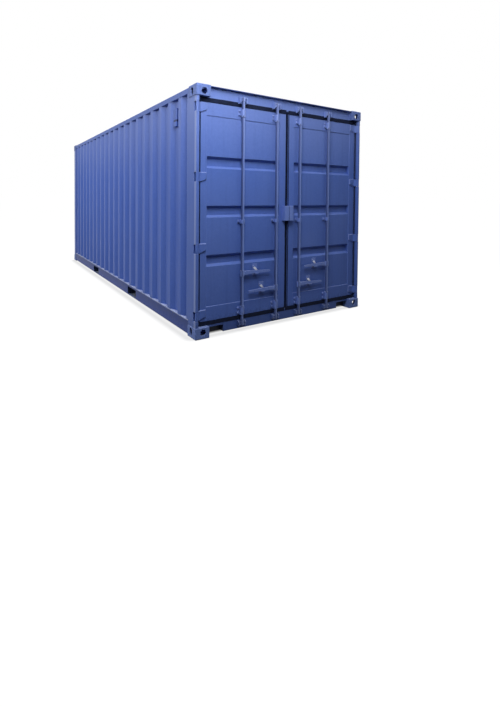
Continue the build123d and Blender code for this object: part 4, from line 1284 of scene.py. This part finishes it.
@dataclass
class Deck:
    """The plywood floor: panels in two rows with staggered joints, screwed to the cross members."""

    front: float = -2.966
    rear: float = 2.890
    half_width: float = 1.166
    low: float = 0.143
    high: float = 0.171
    gap: float = 0.003
    long_panel: float = 2.400
    screw_rows: int = 21
    row_ends: Pair = (0.09, 0.06)
    screw_y: Pair = (0.04, 1.10)
    screws_across: int = 6

    def panels(self) -> None:
        """Lays the panels; each row starts with the short one at the other end."""
        shape = Shape()
        short, thick = self.rear - self.front - 2 * self.long_panel, self.high - self.low
        rows = [(math.inf, 0), (0.001, 0), (0, 0.001), (0, thick - 0.0015), (0.0015, thick), (math.inf, thick)]
        for side, lengths in ((Side.LEFT, (short, self.long_panel, self.long_panel)),
                              (Side.RIGHT, (self.long_panel, self.long_panel, short))):
            middle = side * (self.half_width + self.gap / 2) / 2
            starts = self.front + np.cumsum([0, *lengths[:-1]])
            for start, size in zip(starts, lengths):
                half = ((size - self.gap) / 2, (self.half_width - self.gap / 2) / 2)
                place = (start + size / 2, middle, self.low)
                shape.slab([place], half, corner=0.003, rows=rows, facing=Facing.UP)
        boards = shape.piece("floor_boards", PLYWOOD, crease=30.0)
        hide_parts("floor")

    def screws(self) -> None:
        """Drives rows of flat-headed screws at the cross members."""
        x = np.linspace(self.front + self.row_ends[0], self.rear - self.row_ends[1], self.screw_rows)
        y = np.outer([-1, 1], np.linspace(*self.screw_y, self.screws_across)).ravel()
        head = [(0, 0.0001), (0.0018, 0.0001), (0.0022, 0.0007), (0.0058, 0.0006), (0.0063, 0.0),
                (0.0063, -0.002), (0, -0.002)]
        shape = Shape()
        shape.turn(head, [(along, across, self.high) for along in x for across in y], Facing.UP, sides=10)
        shape.piece("floor_screws", STEEL)

    def build(self) -> None:
        """Builds the panels and their screws."""
        self.panels()
        self.screws()


# ---- The room ----


@dataclass(frozen=True)
class Softbox:
    """A large soft lamp."""

    name: str
    place: Point
    aim: Point
    size: Pair
    watts: float

    def build(self) -> None:
        """Hangs the lamp with its face towards its aim."""
        data = bpy.data.lights.new(self.name, "AREA")
        data.shape = "RECTANGLE"
        data.size, data.size_y = self.size
        data.energy = self.watts
        lamp = placed(self.name, data)
        lamp.location = self.place
        lamp.visible_camera = False
        lamp.rotation_euler = (Vector(self.aim) - Vector(self.place)).to_track_quat("-Z", "Y").to_euler()


@dataclass(frozen=True)
class Room:
    """The pale floor, the white background, the lamps and the camera."""

    ambient: float = 0.02
    floor_colour: Colour = (0.08, 0.08, 0.083, 1)
    floor_glow: float = 0.97
    glow_reach: Pair = (4.0, 6.5)
    floor_half: float = 300.0
    footprint: Pair = (2.92, 1.20)
    shadow: float = 0.26
    shadow_out: float = 0.05
    shadow_width: float = 0.055
    core: Pair = (-0.06, 0.0)
    core_glow: float = 0.06
    eye: Point = (6.572, -3.037, 1.450)
    azimuth: float = 57.22
    elevation: float = 1.38
    roll: float = 0.44
    lens: float = 20.215
    sensor: float = 36.0
    shift: Pair = (0.0212, -0.2072)
    clip: Pair = (0.05, 1000.0)
    lamps: tuple[Softbox, ...] = (
        Softbox("side_softbox", (-0.6, -5.5, 4.0), (-0.6, -1.2, 1.6), (8.0, 2.4), 285.0),
        Softbox("door_left_top_softbox", (4.3, -1.7, 4.3), (3.0, -0.8, 2.2), (1.2, 1.2), 44.0),
        Softbox("door_left_softbox", (4.7, -1.5, 3.3), (3.0, -0.8, 1.8), (1.2, 1.2), 58.0),
        Softbox("door_right_softbox", (4.3, 0.9, 4.3), (3.0, 0.3, 2.2), (1.2, 1.2), 26.0),
        Softbox("right_softbox", (-0.2, 4.6, 4.6), (-0.2, 1.2, 1.6), (8.6, 2.0), 360.0),
        Softbox("front_softbox", (-5.8, 0.0, 4.4), (-3.0, 0.0, 1.6), (2.4, 1.5), 190.0),
    )

    def seen(self, graph: Graph) -> Socket:
        """Finds the rays that show the background: from the camera, a reflection or a glass.

        Args:
            graph: The tree that asks.

        Returns:
            1 for such a ray, 0 for light that falls on the object.
        """
        path = graph.node("ShaderNodeLightPath").outputs
        seen = graph.math("MAXIMUM", path["Is Camera Ray"], path["Is Glossy Ray"])
        return graph.math("MAXIMUM", seen, path["Is Transmission Ray"])

    def sky(self) -> None:
        """Sets an even world that shows white and lights at a plain level."""
        world = bpy.data.worlds.new("studio")
        world.use_nodes = True
        graph = Graph(world.node_tree)
        light, white = (graph.node("ShaderNodeBackground", {"Color": (1.0, 1.0, 1.0, 1), "Strength": strength})
                        for strength in (self.ambient, 1.0))
        mixed = graph.node("ShaderNodeMixShader", {0: self.seen(graph), 1: light.outputs[0], 2: white.outputs[0]})
        graph.node("ShaderNodeOutputWorld", {"Surface": mixed.outputs[0]})
        bpy.context.scene.world = world

    def contact(self, graph: Graph) -> Socket:
        """Paints a soft shadow on the floor a little beside the container, and paints the floor dark below it.

        The distance d from the footprint is the length of max(|p| - half, 0). The glow is
        1 - shadow exp(-((d - out) / width)^2), and deep inside the footprint it is nearly gone.

        Args:
            graph: The floor's graph.

        Returns:
            The share of the glow that is left.
        """
        past = [graph.math("SUBTRACT", graph.math("ABSOLUTE", along), half)
                for along, half in zip(graph.parts(), self.footprint)]
        squares = [graph.math("POWER", graph.math("MAXIMUM", one, 0.0), 2.0) for one in past]
        away = graph.math("SQRT", graph.math("ADD", *squares))
        offset = graph.math("DIVIDE", graph.math("SUBTRACT", away, self.shadow_out), self.shadow_width)
        near = graph.math("EXPONENT", graph.times(graph.math("POWER", offset, 2.0), -1.0))
        beside = graph.math("SUBTRACT", 1.0, graph.times(near, self.shadow))
        inside = graph.math("MAXIMUM", *past)
        return graph.times(beside, graph.between(inside, *self.core, self.core_glow, 1.0))

    def floor(self) -> None:
        """Lays a wide floor that shows white, with a painted soft shadow about the container and the faint real shade
        that its matt part catches.
        """
        material, graph = Graph.material("studio_floor")
        matt = graph.node("ShaderNodeBsdfDiffuse", {"Color": self.floor_colour})
        far = graph.node("ShaderNodeVectorMath", {0: graph.place()}, operation="LENGTH")
        level = graph.between(far.outputs["Value"], *self.glow_reach, self.floor_glow, 1.0)
        strength = graph.times(level, self.contact(graph), self.seen(graph))
        glow = graph.node("ShaderNodeEmission", {"Strength": strength})
        both = graph.node("ShaderNodeAddShader", {0: matt.outputs[0], 1: glow.outputs[0]})
        graph.node("ShaderNodeOutputMaterial", {"Surface": both.outputs[0]})
        mesh = bpy.data.meshes.new("studio_floor")
        square = [(-1, -1), (1, -1), (1, 1), (-1, 1)]
        mesh.from_pydata([(x * self.floor_half, y * self.floor_half, 0) for x, y in square], [], [(0, 1, 2, 3)])
        mesh.materials.append(material)
        placed("studio_floor", mesh)

    def camera(self) -> None:
        """Stands the camera where the picture was taken, turned by azimuth, elevation and roll."""
        a, e, r = (math.radians(angle) for angle in (self.azimuth, self.elevation, self.roll))
        back = Vector((math.sin(a) * math.cos(e), -math.cos(a) * math.cos(e), math.sin(e)))
        level = Vector((math.cos(a), math.sin(a), 0))
        above = back.cross(level)
        right = math.cos(r) * level + math.sin(r) * above
        up = math.cos(r) * above - math.sin(r) * level
        data = bpy.data.cameras.new("camera")
        data.sensor_fit, data.sensor_height, data.lens = "VERTICAL", self.sensor, self.lens
        data.shift_x, data.shift_y = self.shift
        data.clip_start, data.clip_end = self.clip
        made = placed("camera", data)
        made.matrix_world = Matrix.Translation(self.eye) @ Matrix((right, up, back)).transposed().to_4x4()
        bpy.context.scene.camera = made

    def build(self) -> None:
        """Builds the room."""
        self.camera()
        self.sky()
        self.floor()
        for lamp in self.lamps:
            lamp.build()
        bpy.context.scene.view_settings.view_transform = "Standard"


def main() -> None:
    """Loads the frame, dresses it, and builds each part of the container in turn."""
    logging.basicConfig(level=logging.INFO, format="%(name)s: %(message)s")
    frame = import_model()
    Room().build()
    for name, node in frame["nodes"].items():
        node.material_slots[0].material = node_finish(name).material()
    for side, middle in VENTILATORS.items():
        SideWall(side).build()
        Ventilator(side, middle).build()
        Door(side).build()
    Ends().build()
    Deck().build()
    bpy.context.view_layer.update()


if __name__ == "__main__":
    main()
